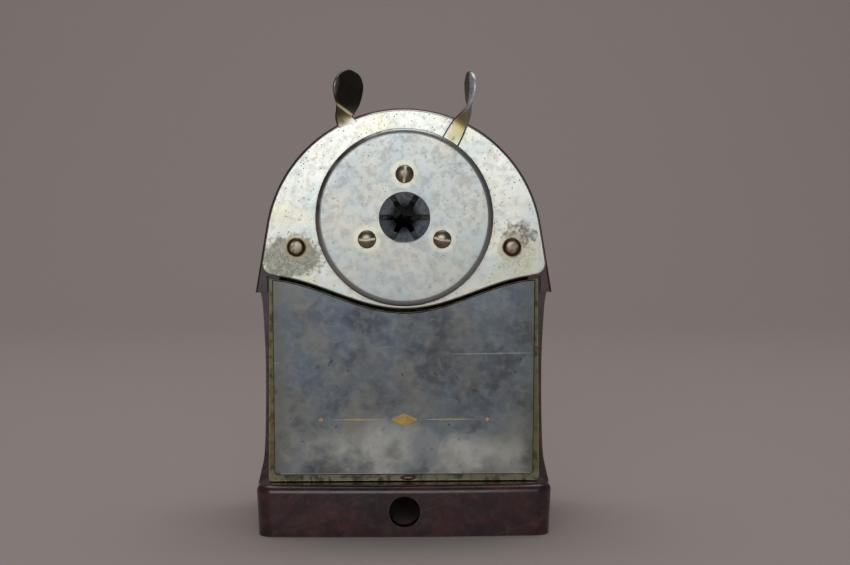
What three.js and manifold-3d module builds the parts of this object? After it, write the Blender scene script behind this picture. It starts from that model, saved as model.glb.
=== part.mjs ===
// Desk pencil sharpener with a hand crank, a self-feeding chuck carriage and a shavings drawer.
// Millimetres. +Z is up, the pencil goes in from the front (-Y) and the crank is at the back (+Y).
// The part stands on Z = 0. Depths below are measured from the middle of the housing, and the
// whole group is moved by DEPTH_SHIFT so that its box is centred on Y = 0.

import * as THREE from 'three';
import { mergeVertices } from 'three/addons/utils/BufferGeometryUtils.js';
import Module from 'manifold-3d';

const wasm = await Module();
wasm.setup();

// ---------------------------------------------------------------- driving dimensions

const DEPTH_SHIFT = -11.8;
const AXIS_Z = 80.25;               // pencil, chuck and crank axis above the desk

const HEAD_CENTRE_Z = 72.5;
const HEAD_RADIUS = 34.9;
const LEG_FLARE = THREE.MathUtils.degToRad(9.5);
const SHOULDER_Z = 61.3;
const HEAD_FRONT = -21.7;
const HEAD_BACK = 23;
const REAR_WALL_FRONT = 20;
const CAVITY_RADIUS = 31.4;
const CAVITY_HALF_WIDTH = 31.6;
const SHOULDER_OPENING_HALF_WIDTH = 34.4;

const WAIST_FRONT = -19.3;
const WAIST_BACK = 22;
const BASE_HALF_WIDTH = 37.3;
const BASE_HEIGHT = 13;
const BASE_FRONT = -25.2;
const BASE_BOW = 1.0;
const BASE_BACK = 25;
const BASE_CORNER = 4;
const BASE_EDGE = 1.7;
const BASE_DRAFT = 0.016;
const BASE_FLOOR_BOTTOM = 11.2;
const BASE_WALL = 3;
const CLAMP_HOLE_RADIUS = 3.95;
const CLAMP_HOLE_Z = 6.4;

const PLATE_FRONT = -24.5;
const PLATE_BACK = -23.5;
const PLATE_RIM_BACK = -22.0;
const PLATE_RADIUS = 34.4;
const PLATE_SHEET = 1.0;
const PLATE_CORNER = 3;
const PLATE_BORE = 8.6;
const LOWER_EDGE_CENTRE_Z = 57.3;
const LOWER_EDGE_RISE = 8.45;
const LOWER_EDGE_SPAN = 35.5;

const ROD_X = 26.9;
const ROD_Z = 72.75;
const ROD_RADIUS = 1.95;
const ROD_BACK = 19.2;
const ROD_NUT_FRONT = 17;
const BUSH_RADIUS = 3.0;
const BUSH_BORE = 2.1;
const BOSS_RADIUS = 4.8;
const BOSS_BACK = -13;
const SPRING_RADIUS = 2.9;
const SPRING_WIRE = 0.3;
const SPRING_COILS = 10;

const SCREW_CIRCLE = 10.7;
const COVER_SCREW_ANGLES = [90, 210, 330];
const COVER_SCREW_SLOTS = [90, 4, 14];      // slot directions, in degrees from level
const COVER_SCREW_RADIUS = 2.25;
const COVER_SCREW_FRONT = -30.6;
const COVER_SCREW_BACK = -21.2;
const COVER_SHANK_RADIUS = 1.2;
const SPACER_RADIUS = 1.6;
const PLATE_HOLE_RADIUS = 1.4;
const GUIDE_PIN_ANGLES = [30, 150, 270];
const JAW_ANGLES = [30, 90, 150, 210, 270, 330];
const COVER_RADIUS = 22;
const COVER_FRONT = -29.1;
const COVER_BACK = -28.3;
const COVER_RIM_BACK = -26.3;
const MOUTH_RADIUS = 6.2;

const RING_FRONT = -25.9;
const RING_BACK = -24.8;
const RING_INNER = 12.45;
const RING_OUTER = 20.4;
const JAW_TRAVEL = 2.9;
const LEVER_ANGLE = 38;             // degrees from closed to open jaws
const CAM_PIN_CIRCLE = 14.2;
const CAM_PIN_RADIUS = 0.9;
const CAM_SLOT_HALF_WIDTH = 1.05;

const JAW_FRONT = -28.0;
const JAW_TAIL_BACK = -26.2;
const JAW_NOSE_RADIUS = 2.6;
const JAW_NOSE_BACK = -19;
const JAW_TAIL_END = 15.8;
const JAW_HALF_WIDTH = 3.4;
const JAW_GAP = 0.35;

const CUTTER_TILT = THREE.MathUtils.degToRad(11.5);
const APEX_Y = 38.1;                // where the cutter axis meets the main axis
const CUTTER_RADIUS = 5.2;
const CUTTER_START = 24.5;          // distances along the cutter axis from the apex
const CUTTER_END = 46.8;
const CUTTER_FLUTES = 12;
const PINION_START = 48.6;
const PINION_END = 53.2;
const PINION_TEETH = 10;
const RING_TEETH = 32;
const AXLE_RADIUS = 1.6;
const AXLE_START = 21.8;
const AXLE_END = 57.4;

const CRANK_THROW = 40;
const SHAFT_RADIUS = 3.0;
const SHAFT_CLEARANCE = 0.15;
const ARM_HUB_RADIUS = 6.5;
const ARM_END_RADIUS = 5;
const ARM_FRONT = 26;
const ARM_BACK = 28.2;
const NUT_FRONT = 28.4;
const NUT_BACK = 32.2;
const NUT_RADIUS = 5.6;
const PIN_RADIUS = 2.0;
const PIN_HEAD_RADIUS = 3.6;
const KNOB_BORE = 2.3;
const KNOB_FRONT = 30;
const KNOB_BACK = 52;

const FRAME_SCREW_CIRCLE = 16.4;
const FRAME_SCREW_HOLE = 1.7;
const FRAME_SCREW_SHANK = 1.5;
const FRAME_SCREW_FRONT = 17.6;
const BUSH_FRONT = 19.5;
const BUSH_BODY_RADIUS = 5.5;
const BUSH_COLLAR_RADIUS = 8;
const BUSH_COLLAR_FRONT = 23.2;
const BUSH_BACK = 25.4;
const FRAME_RING_FRONT = 17.4;
const FRAME_RING_BACK = 19.8;
const FRAME_LEG_INNER = 17.5;
const FRAME_LEG_OUTER = 20.5;
const FRAME_LEG_FRONT = -14.9;

const CARRIER_BAR_INNER = 9;
const CARRIER_BAR_OUTER = 12.4;
const CARRIER_HALF_WIDTH = 3.5;
const CARRIER_GUIDE_RADIUS = 14.2;
const CARRIER_GUIDE_FRONT = -17.9;
const CARRIER_GUIDE_BACK = -15.4;
const CARRIER_HUB_FRONT = 15.8;
const CARRIER_HUB_BACK = 19.2;
const CARRIER_HUB_RADIUS = 8;
const PENCIL_HOLE_RADIUS = 4.5;
const AXLE_HEAD_RADIUS = 2.7;
const AXLE_HEAD = 1.3;
const RING_GEAR_RADIUS = 17.3;
const RING_GEAR_HALF_DEPTH = 2.2;

const FAR_FRONT = -50;              // ends of the tools that cut right through
const FAR_BACK = 50;

const DRAWER_HALF_WIDTH = 31.2;
const DRAWER_FRONT_HALF_TOP = 33.8;
const DRAWER_FRONT_HALF_BOTTOM = 34.3;
const DRAWER_BOTTOM = 13.3;
const DRAWER_TOP = 54;
const DRAWER_BACK = 18.5;
const DRAWER_SHEET = 0.8;
const DRAWER_FLANGE_FRONT = -20.4;
const DRAWER_FLANGE_BACK = -19.6;
const DRAWER_EDGE_GAP = 1.2;
const DRAWER_PANEL_FRONT = -21.2;
const DRAWER_PANEL_INSET = 1.4;

// ---------------------------------------------------------------- materials

function finish(color, roughness, metalness) {
  return new THREE.MeshStandardMaterial({ color, roughness, metalness });
}

const FINISH = {
  bakelite: () => finish(0x2e1a1c, 0.25, 0.0),
  brightNickel: () => finish(0xc9ccc8, 0.28, 1.0),
  dullNickel: () => finish(0x9ea1a0, 0.42, 1.0),
  tarnished: () => finish(0x6f757a, 0.5, 1.0),
  bluedSteel: () => finish(0x3a3f4a, 0.35, 1.0),
  toolSteel: () => finish(0x7d7f82, 0.35, 1.0),
  brass: () => finish(0xb08d4a, 0.35, 1.0),
  casting: () => finish(0x84868a, 0.55, 0.9),
  springSteel: () => finish(0x9a9da0, 0.3, 1.0),
  turnedWood: () => finish(0x2a1712, 0.4, 0.0),
};

// ---------------------------------------------------------------- geometry helpers

const radians = THREE.MathUtils.degToRad;

// A closed three.js geometry as a solid; its faces are turned outward if they point in.
function toSolid(geometry) {
  const loose = geometry.index ? geometry.toNonIndexed() : geometry.clone();
  loose.deleteAttribute('normal');
  loose.deleteAttribute('uv');
  const merged = mergeVertices(loose, 1e-4);
  const points = merged.attributes.position.array;
  const corners = merged.index.array;
  const triangles = [];
  const a = new THREE.Vector3();
  const b = new THREE.Vector3();
  const c = new THREE.Vector3();
  let volume = 0;
  for (let i = 0; i < corners.length; i += 3) {
    const [p, q, r] = [corners[i], corners[i + 1], corners[i + 2]];
    if (p === q || q === r || p === r) continue;
    triangles.push(p, q, r);
    a.fromArray(points, 3 * p);
    b.fromArray(points, 3 * q);
    c.fromArray(points, 3 * r);
    volume += a.dot(b.cross(c));
  }
  if (volume < 0) triangles.reverse();
  return new wasm.Manifold(new wasm.Mesh({
    numProp: 3,
    vertProperties: new Float32Array(points),
    triVerts: new Uint32Array(triangles),
  }));
}

function toGeometry(solid) {
  const mesh = solid.getMesh();
  const geometry = new THREE.BufferGeometry();
  geometry.setAttribute('position', new THREE.BufferAttribute(new Float32Array(mesh.vertProperties), 3));
  geometry.setIndex(new THREE.BufferAttribute(new Uint32Array(mesh.triVerts), 1));
  geometry.computeVertexNormals();
  return geometry;
}

function union(...solids) {
  return solids.reduce((whole, next) => whole.add(next));
}

function cut(solid, ...tools) {
  return tools.reduce((whole, next) => whole.subtract(next), solid);
}

function outline(points) {
  return new THREE.Shape(points.map(([x, z]) => new THREE.Vector2(x, z)));
}

function arcPoints(x, z, radius, from, to, steps) {
  const points = [];
  for (let i = 0; i <= steps; i += 1) {
    const angle = radians(from + ((to - from) * i) / steps);
    points.push([x + radius * Math.cos(angle), z + radius * Math.sin(angle)]);
  }
  return points;
}

function vectors(points) {
  return points.map((point) => new THREE.Vector3(...point));
}

// A flat outline in X and Z, made solid between two depths.
function slab(shape, front, back) {
  const depth = back - front;
  const geometry = new THREE.ExtrudeGeometry(shape, { depth, bevelEnabled: false, steps: 1 });
  geometry.rotateX(Math.PI / 2);
  geometry.translate(0, back, 0);
  return toSolid(geometry);
}

function block(x0, x1, y0, y1, z0, z1) {
  const geometry = new THREE.BoxGeometry(x1 - x0, y1 - y0, z1 - z0);
  geometry.translate((x0 + x1) / 2, (y0 + y1) / 2, (z0 + z1) / 2);
  return toSolid(geometry);
}

// A round bar along Y.
function bar(x, z, radius, front, back, sides = 20) {
  const geometry = new THREE.CylinderGeometry(radius, radius, back - front, sides);
  geometry.translate(x, (front + back) / 2, z);
  return toSolid(geometry);
}

// A turned piece about an axis along Y: the profile is a list of [radius, depth].
function turned(profile, x = 0, z = AXIS_Z, sides = 48) {
  const geometry = new THREE.LatheGeometry(profile.map(([r, y]) => new THREE.Vector2(r, y)), sides);
  geometry.translate(x, 0, z);
  return toSolid(geometry);
}

// A ring about an axis along Y.
function tube(x, z, inner, outer, front, back, sides = 32) {
  const profile = [[inner, front], [outer, front], [outer, back], [inner, back], [inner, front]];
  return turned(profile, x, z, sides);
}

function onCircle(radius, degrees) {
  return [radius * Math.cos(radians(degrees)), AXIS_Z + radius * Math.sin(radians(degrees))];
}

// Turns a solid about the pencil axis, counter-clockwise seen from the front.
function spun(geometry, degrees) {
  geometry.translate(0, 0, -AXIS_Z);
  geometry.rotateY(-radians(degrees));
  geometry.translate(0, 0, AXIS_Z);
  return geometry;
}

function spunSolid(solid, degrees) {
  return toSolid(spun(toGeometry(solid), degrees));
}

// A flat blade that follows a path and can widen, narrow and twist on the way.
function blade(path, widthAt, twistAt, thickness, steps) {
  const geometry = new THREE.BoxGeometry(1, 1, 1, 2, steps, 1);
  const position = geometry.attributes.position;
  const side = new THREE.Vector3();
  const face = new THREE.Vector3();
  for (let i = 0; i < position.count; i += 1) {
    const t = position.getY(i) + 0.5;
    const along = path.getTangentAt(t);
    side.crossVectors(along, new THREE.Vector3(0, -1, 0)).normalize();
    side.applyAxisAngle(along, twistAt(t));
    face.crossVectors(side, along).normalize();
    const point = path.getPointAt(t);
    point.addScaledVector(side, position.getX(i) * widthAt(t));
    point.addScaledVector(face, position.getZ(i) * thickness);
    position.setXYZ(i, point.x, point.y, point.z);
  }
  return toSolid(geometry);
}

// A slotted round head with a shank behind it.
function slottedScrew(x, z, headRadius, headFront, headBack, shankRadius, shankBack, slotAngle) {
  const crown = (headBack - headFront) * 0.55;
  const head = turned([
    [0, headFront], [headRadius * 0.55, headFront + crown * 0.22],
    [headRadius * 0.88, headFront + crown * 0.65], [headRadius, headFront + crown * 1.35],
    [headRadius, headBack], [0, headBack],
  ], x, z, 18);
  const shank = bar(x, z, shankRadius, headBack - 0.1, shankBack, 12);
  const slot = new THREE.BoxGeometry(headRadius * 3, crown * 1.4, headRadius * 0.34);
  slot.rotateY(-radians(slotAngle));
  slot.translate(x, headFront + crown * 0.2, z);
  return cut(union(head, shank), toSolid(slot));
}

// A close spring along Y: a wire swept along a helix.
function coilSpring(x, z, front, back) {
  class Helix extends THREE.Curve {
    getPoint(t, target = new THREE.Vector3()) {
      const angle = 2 * Math.PI * SPRING_COILS * t;
      const y = front + (back - front) * t;
      return target.set(x + SPRING_RADIUS * Math.cos(angle), y, z + SPRING_RADIUS * Math.sin(angle));
    }
  }
  const wire = outline(arcPoints(0, 0, SPRING_WIRE, 0, 240, 2));
  const geometry = new THREE.ExtrudeGeometry(wire, { steps: SPRING_COILS * 9, extrudePath: new Helix() });
  return toSolid(geometry);
}

// Equal round bars on a circle about the main axis.
function barsOnCircle(circle, angles, radius, front, back) {
  return angles.map((angle) => bar(...onCircle(circle, angle), radius, front, back, 16));
}

// ---------------------------------------------------------------- outlines

function legX(radius, z) {
  const tangentX = radius * Math.cos(LEG_FLARE);
  const tangentZ = HEAD_CENTRE_Z + radius * Math.sin(LEG_FLARE);
  return tangentX + (tangentZ - z) * Math.tan(LEG_FLARE);
}

function archPoints(radius, steps) {
  const flare = THREE.MathUtils.radToDeg(LEG_FLARE);
  return arcPoints(0, HEAD_CENTRE_Z, radius, flare, 180 - flare, steps);
}

function lowerEdgeZ(x) {
  return LOWER_EDGE_CENTRE_Z + LOWER_EDGE_RISE * Math.sin((Math.PI * x) / (2 * LOWER_EDGE_SPAN)) ** 2;
}

// The front plate's outline, or the same outline moved inward.
function plateOutline(inset) {
  const radius = PLATE_RADIUS - inset;
  const corner = PLATE_CORNER - inset * 0.6;
  const bottom = lowerEdgeZ(PLATE_RADIUS) + inset;
  const cornerZ = bottom + corner;
  const cornerX = legX(radius, cornerZ) - corner / Math.cos(LEG_FLARE);
  const flare = THREE.MathUtils.radToDeg(LEG_FLARE);
  const right = arcPoints(cornerX, cornerZ, corner, -90, flare, 4);
  const left = right.map(([x, z]) => [-x, z]).reverse();
  const edge = [];
  const steps = 14;
  for (let i = 1; i < steps; i += 1) {
    const x = -cornerX + (2 * cornerX * i) / steps;
    edge.push([x, lowerEdgeZ(x) + inset]);
  }
  return outline([...right, ...archPoints(radius, 32), ...left, ...edge]);
}

// The waist's outline seen from the front: half-widths on a smooth line.
function waistPoints() {
  const side = new THREE.SplineCurve([
    new THREE.Vector2(37.2, 12.8), new THREE.Vector2(36.1, 16), new THREE.Vector2(35.1, 20.4),
    new THREE.Vector2(34.65, 30.8), new THREE.Vector2(34.6, 43.2), new THREE.Vector2(35.0, 52.6),
    new THREE.Vector2(35.5, 58.5), new THREE.Vector2(36.3, 62.5),
  ]);
  const right = side.getPoints(12).map((p) => [p.x, p.y]);
  const left = right.map(([x, z]) => [-x, z]).reverse();
  return [...right, ...left];
}

function drawerFrontOutline(inset) {
  const bottom = DRAWER_FRONT_HALF_BOTTOM - inset;
  const top = DRAWER_FRONT_HALF_TOP - inset;
  const points = [[-bottom, DRAWER_BOTTOM + inset], [bottom, DRAWER_BOTTOM + inset]];
  const steps = 20;
  for (let i = 0; i <= steps; i += 1) {
    const x = top - (2 * top * i) / steps;
    points.push([x, lowerEdgeZ(x) - DRAWER_EDGE_GAP - inset]);
  }
  return outline(points);
}

// ---------------------------------------------------------------- housing

function basePlan() {
  const shape = new THREE.Shape();
  const half = BASE_HALF_WIDTH - BASE_EDGE;
  const front = BASE_FRONT + BASE_EDGE;
  const back = BASE_BACK - BASE_EDGE;
  const corner = BASE_CORNER - BASE_EDGE;
  shape.moveTo(-half + corner, front);
  shape.quadraticCurveTo(0, front - 2 * BASE_BOW, half - corner, front);
  shape.quadraticCurveTo(half, front, half, front + corner);
  shape.lineTo(half, back - corner);
  shape.quadraticCurveTo(half, back, half - corner, back);
  shape.lineTo(-half + corner, back);
  shape.quadraticCurveTo(-half, back, -half, back - corner);
  shape.lineTo(-half, front + corner);
  shape.quadraticCurveTo(-half, front, -half + corner, front);
  return shape;
}

function baseBlock() {
  const geometry = new THREE.ExtrudeGeometry(basePlan(), {
    depth: BASE_HEIGHT, bevelEnabled: true, bevelThickness: BASE_EDGE, bevelSize: BASE_EDGE,
    bevelSegments: 3, curveSegments: 5, steps: 1,
  });
  geometry.translate(0, 0, -BASE_EDGE);
  const position = geometry.attributes.position;
  for (let i = 0; i < position.count; i += 1) {
    const narrow = 1 - BASE_DRAFT * (1 - position.getZ(i) / BASE_HEIGHT);
    position.setX(i, position.getX(i) * narrow);
  }
  return cut(toSolid(geometry), block(FAR_FRONT, FAR_BACK, FAR_FRONT, FAR_BACK, -10, 0));
}

function housing() {
  const head = slab(outline([
    [legX(HEAD_RADIUS, SHOULDER_Z), SHOULDER_Z], ...archPoints(HEAD_RADIUS, 36),
    [-legX(HEAD_RADIUS, SHOULDER_Z), SHOULDER_Z],
  ]), HEAD_FRONT, HEAD_BACK);
  const waist = slab(outline(waistPoints()), WAIST_FRONT, WAIST_BACK);
  const cavity = slab(outline([
    [CAVITY_HALF_WIDTH, BASE_HEIGHT], ...arcPoints(0, HEAD_CENTRE_Z, CAVITY_RADIUS, 0, 180, 28),
    [-CAVITY_HALF_WIDTH, BASE_HEIGHT],
  ]), HEAD_FRONT - 5, REAR_WALL_FRONT);
  const shoulderOpening = block(
    -SHOULDER_OPENING_HALF_WIDTH, SHOULDER_OPENING_HALF_WIDTH, HEAD_FRONT - 5, WAIST_FRONT,
    BASE_HEIGHT, lowerEdgeZ(PLATE_RADIUS) - 0.3,
  );
  const shell = cut(union(head, waist, baseBlock()), cavity, shoulderOpening);
  const bosses = [-1, 1].map((side) => {
    const edge = side * (CAVITY_RADIUS + 1);
    const boss = bar(side * ROD_X, ROD_Z, BOSS_RADIUS, HEAD_FRONT, BOSS_BACK, 24);
    const web = block(
      Math.min(side * ROD_X, edge), Math.max(side * ROD_X, edge), HEAD_FRONT, BOSS_BACK,
      ROD_Z - BOSS_RADIUS, ROD_Z + BOSS_RADIUS,
    );
    return union(boss, web);
  });
  const baseHollow = block(
    -BASE_HALF_WIDTH + BASE_WALL + 0.8, BASE_HALF_WIDTH - BASE_WALL - 0.8,
    BASE_FRONT + BASE_WALL, BASE_BACK - BASE_WALL, -1, BASE_FLOOR_BOTTOM,
  );
  const bushHoleRadius = BUSH_RADIUS + SHAFT_CLEARANCE;
  const bushHoles = [-1, 1].map((side) => bar(side * ROD_X, ROD_Z, bushHoleRadius, FAR_FRONT, 0, 20));
  const screwHoles = barsOnCircle(FRAME_SCREW_CIRCLE, COVER_SCREW_ANGLES, FRAME_SCREW_HOLE, 15, FAR_BACK);
  const bearingHole = bar(0, AXIS_Z, BUSH_BODY_RADIUS + SHAFT_CLEARANCE, 15, FAR_BACK, 28);
  const clampHole = bar(0, CLAMP_HOLE_Z, CLAMP_HOLE_RADIUS, FAR_FRONT, BASE_FRONT + 15, 28);
  return cut(union(shell, ...bosses), baseHollow, ...bushHoles, ...screwHoles, bearingHole, clampHole);
}

// ---------------------------------------------------------------- mechanism frame and bearing

function mechanismFrame() {
  const flange = tube(0, AXIS_Z, 13.3, 20.2, FRAME_RING_FRONT, FRAME_RING_BACK, 32);
  const half = 3;
  const legs = [45, 135, 225, 315].map((angle) => {
    const leg = block(
      FRAME_LEG_INNER, FRAME_LEG_OUTER, FRAME_LEG_FRONT + 0.5, FRAME_RING_BACK, AXIS_Z - half, AXIS_Z + half,
    );
    const lug = block(
      FRAME_LEG_INNER - 1.3, FRAME_LEG_OUTER, FRAME_LEG_FRONT, FRAME_LEG_FRONT + 0.6,
      AXIS_Z - half, AXIS_Z + half,
    );
    return spunSolid(union(leg, lug), angle);
  });
  const holes = barsOnCircle(FRAME_SCREW_CIRCLE, COVER_SCREW_ANGLES, FRAME_SCREW_HOLE, 15, FAR_BACK);
  return cut(union(flange, ...legs), ...holes);
}

function frameScrew(angle) {
  const [x, z] = onCircle(FRAME_SCREW_CIRCLE, angle);
  const seat = BUSH_COLLAR_FRONT;
  const head = turned([[0, seat + 2], [1.8, seat + 1.8], [2.8, seat + 1.1], [3, seat], [0, seat]], x, z, 18);
  const slot = new THREE.BoxGeometry(8, 1, 0.9);
  slot.rotateY(radians(angle + 20));
  slot.translate(x, seat + 1.9, z);
  const shank = bar(x, z, FRAME_SCREW_SHANK, FRAME_SCREW_FRONT, seat + 0.2, 16);
  return cut(union(head, shank), toSolid(slot));
}

function bearingBush() {
  const bore = SHAFT_RADIUS + 0.2;
  return turned([
    [bore, BUSH_FRONT], [BUSH_BODY_RADIUS, BUSH_FRONT], [BUSH_BODY_RADIUS, BUSH_COLLAR_FRONT],
    [BUSH_COLLAR_RADIUS, BUSH_COLLAR_FRONT], [BUSH_COLLAR_RADIUS, BUSH_COLLAR_FRONT + 1],
    [BUSH_COLLAR_RADIUS - 1.6, BUSH_BACK], [bore, BUSH_BACK], [bore, BUSH_FRONT],
  ], 0, AXIS_Z, 32);
}

function guideBush(side) {
  return tube(side * ROD_X, ROD_Z, BUSH_BORE, BUSH_RADIUS, HEAD_FRONT, BOSS_BACK, 20);
}

// ---------------------------------------------------------------- gears and cutter

// Straight bevel teeth run to the apex, so a tooth outline drawn in one plane is scaled towards it.
function gearOutline(teeth, pitchRadius, outer, inner, pitchShare, tipShare, rootShare) {
  const points = [];
  const step = (2 * Math.PI) / teeth;
  const corners = [[inner, -rootShare], [pitchRadius, -pitchShare], [outer, -tipShare]];
  for (let tooth = 0; tooth < teeth; tooth += 1) {
    const middle = tooth * step;
    corners.forEach(([radius, share]) => {
      points.push([radius * Math.cos(middle + share * step), radius * Math.sin(middle + share * step)]);
    });
    [...corners].reverse().forEach(([radius, share]) => {
      points.push([radius * Math.cos(middle - share * step), radius * Math.sin(middle - share * step)]);
    });
  }
  return points;
}

const PINION_CONE = Math.asin(
  (PINION_TEETH * Math.sin(CUTTER_TILT))
  / Math.hypot(RING_TEETH - PINION_TEETH * Math.cos(CUTTER_TILT), PINION_TEETH * Math.sin(CUTTER_TILT)),
);
const RING_CONE = PINION_CONE + CUTTER_TILT;
const PINION_MIDDLE = (PINION_START + PINION_END) / 2;
const TOOTH_MODULE = (2 * PINION_MIDDLE * Math.tan(PINION_CONE)) / PINION_TEETH;

// Places a piece drawn along local +Z from the apex onto the tilted cutter axis, which runs
// forward and down from the apex, straight below the main axis.
function onCutterAxis(geometry) {
  geometry.rotateX(Math.PI / 2 + CUTTER_TILT);
  geometry.translate(0, APEX_Y, AXIS_Z);
  return geometry;
}

function alongCutter(solid) {
  return toSolid(onCutterAxis(toGeometry(solid)));
}

function localBar(radius, start, end) {
  const geometry = new THREE.CylinderGeometry(radius, radius, end - start, 20);
  geometry.rotateX(Math.PI / 2);
  geometry.translate(0, 0, (start + end) / 2);
  return toSolid(geometry);
}

function localExtrude(shape, start, end, steps, change) {
  const geometry = new THREE.ExtrudeGeometry(shape, { depth: end - start, steps, bevelEnabled: false });
  geometry.translate(0, 0, start);
  const position = geometry.attributes.position;
  for (let i = 0; i < position.count; i += 1) {
    const [x, y] = change(position.getX(i), position.getY(i), position.getZ(i));
    position.setX(i, x);
    position.setY(i, y);
  }
  return toSolid(geometry);
}

function cutterPinion() {
  const pitch = PINION_MIDDLE * Math.tan(PINION_CONE);
  const shape = outline(gearOutline(
    PINION_TEETH, pitch, pitch + 0.75 * TOOTH_MODULE, pitch - 1.15 * TOOTH_MODULE, 0.2, 0.09, 0.27,
  ));
  const teeth = localExtrude(shape, PINION_START, PINION_END, 1, (x, y, s) => {
    const scale = s / PINION_MIDDLE;
    return [x * scale, y * scale];
  });
  const neck = localBar(3.2, CUTTER_END + 0.3, PINION_START + 0.5);
  return alongCutter(cut(union(teeth, neck), localBar(AXLE_RADIUS + SHAFT_CLEARANCE, 0, 80)));
}

function ringGear() {
  const apexToMiddle = (PINION_MIDDLE * Math.cos(RING_CONE)) / Math.cos(PINION_CONE);
  const middleY = APEX_Y - apexToMiddle;
  const front = middleY - RING_GEAR_HALF_DEPTH;
  const back = middleY + RING_GEAR_HALF_DEPTH;
  const pitch = apexToMiddle * Math.tan(RING_CONE);
  const inner = outline(gearOutline(
    RING_TEETH, pitch, pitch + 1.2 * TOOTH_MODULE, pitch - 0.6 * TOOTH_MODULE, 0.31, 0.24, 0.38,
  ).map(([x, z]) => {
    const turn = -Math.PI / 2 + Math.PI / RING_TEETH;
    return [x * Math.cos(turn) - z * Math.sin(turn), x * Math.sin(turn) + z * Math.cos(turn)];
  }));
  const depth = back - front + 2;
  const hole = new THREE.ExtrudeGeometry(inner, { depth, steps: 1, bevelEnabled: false });
  hole.rotateX(Math.PI / 2);
  hole.translate(0, back + 1, 0);
  const position = hole.attributes.position;
  for (let i = 0; i < position.count; i += 1) {
    const scale = (APEX_Y - position.getY(i)) / apexToMiddle;
    position.setXYZ(i, position.getX(i) * scale, position.getY(i), position.getZ(i) * scale + AXIS_Z);
  }
  return cut(bar(0, AXIS_Z, RING_GEAR_RADIUS, front, back, 64), toSolid(hole));
}

function millingCutter() {
  const points = [];
  const step = (2 * Math.PI) / CUTTER_FLUTES;
  const edge = [[1, 0], [0.94, 0.16], [0.84, 0.7], [0.83, 0.9]];
  for (let flute = 0; flute < CUTTER_FLUTES; flute += 1) {
    edge.forEach(([height, share]) => {
      const angle = (flute + share) * step;
      points.push([CUTTER_RADIUS * height * Math.cos(angle), CUTTER_RADIUS * height * Math.sin(angle)]);
    });
  }
  const twistPerMillimetre = radians(3.2);
  const body = localExtrude(outline(points), CUTTER_START, CUTTER_END, 4, (x, y, s) => {
    const turn = (s - CUTTER_START) * twistPerMillimetre;
    return [x * Math.cos(turn) - y * Math.sin(turn), x * Math.sin(turn) + y * Math.cos(turn)];
  });
  return alongCutter(cut(body, localBar(AXLE_RADIUS + SHAFT_CLEARANCE, 0, 80)));
}

function cutterAxle() {
  const slot = new THREE.BoxGeometry(0.8, 8, 1.2);
  slot.translate(0, 0, AXLE_END + AXLE_HEAD);
  const shaft = localBar(AXLE_RADIUS, AXLE_START, AXLE_END + 0.2);
  const head = localBar(AXLE_HEAD_RADIUS, AXLE_END, AXLE_END + AXLE_HEAD);
  return alongCutter(cut(union(shaft, head), toSolid(slot)));
}

function cutterCarrier() {
  const half = CARRIER_HALF_WIDTH;
  const hub = bar(0, AXIS_Z, CARRIER_HUB_RADIUS, CARRIER_HUB_FRONT, CARRIER_HUB_BACK, 32);
  const shaft = bar(0, AXIS_Z, SHAFT_RADIUS, CARRIER_HUB_BACK - 0.2, NUT_BACK - 0.6, 24);
  const guide = bar(0, AXIS_Z, CARRIER_GUIDE_RADIUS, CARRIER_GUIDE_FRONT, CARRIER_GUIDE_BACK, 36);
  const sides = [0, 180].map((angle) => spunSolid(block(
    CARRIER_BAR_INNER, CARRIER_BAR_OUTER, CARRIER_GUIDE_BACK - 0.6, CARRIER_HUB_BACK - 1.2,
    AXIS_Z - half, AXIS_Z + half,
  ), angle));
  const rearBars = [0, 180].map((angle) => spunSolid(block(
    CARRIER_HUB_RADIUS - 3, CARRIER_BAR_OUTER, CARRIER_HUB_FRONT, CARRIER_HUB_BACK,
    AXIS_Z - half, AXIS_Z + half,
  ), angle));
  const pencilHole = bar(0, AXIS_Z, PENCIL_HOLE_RADIUS, -20, -10, 24);
  const axleHole = alongCutter(localBar(AXLE_RADIUS + SHAFT_CLEARANCE, AXLE_START - 0.6, 80));
  const headSeat = alongCutter(localBar(AXLE_HEAD_RADIUS + 0.5, AXLE_END - 0.2, 80));
  return cut(union(hub, shaft, guide, ...sides, ...rearBars), pencilHole, axleHole, headSeat);
}

// ---------------------------------------------------------------- crank

function crankArm() {
  const shape = outline([
    ...arcPoints(0, AXIS_Z, ARM_HUB_RADIUS, 20, 160, 12),
    ...arcPoints(0, AXIS_Z - CRANK_THROW, ARM_END_RADIUS, 180, 360, 12),
  ]);
  const shaftHole = bar(0, AXIS_Z, SHAFT_RADIUS + SHAFT_CLEARANCE, 20, 40, 24);
  const pinHole = bar(0, AXIS_Z - CRANK_THROW, PIN_RADIUS + SHAFT_CLEARANCE, 20, 40, 20);
  return cut(slab(shape, ARM_FRONT, ARM_BACK), shaftHole, pinHole);
}

function crankNut() {
  const nut = turned([
    [0, NUT_FRONT], [NUT_RADIUS, NUT_FRONT], [NUT_RADIUS, NUT_BACK - 1], [NUT_RADIUS - 0.8, NUT_BACK],
    [0, NUT_BACK],
  ], 0, AXIS_Z, 6);
  return cut(nut, bar(0, AXIS_Z, SHAFT_RADIUS + SHAFT_CLEARANCE, 25, 35, 20));
}

function knobPin() {
  const seat = ARM_FRONT - SHAFT_CLEARANCE;
  const headFront = KNOB_BACK + 0.2;
  return turned([
    [0, 25.4], [3, 25.6], [3, seat], [PIN_RADIUS, seat], [PIN_RADIUS, headFront],
    [PIN_HEAD_RADIUS, headFront], [PIN_HEAD_RADIUS - 0.2, headFront + 1], [PIN_RADIUS, headFront + 1.7],
    [0, headFront + 2],
  ], 0, AXIS_Z - CRANK_THROW, 20);
}

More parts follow.
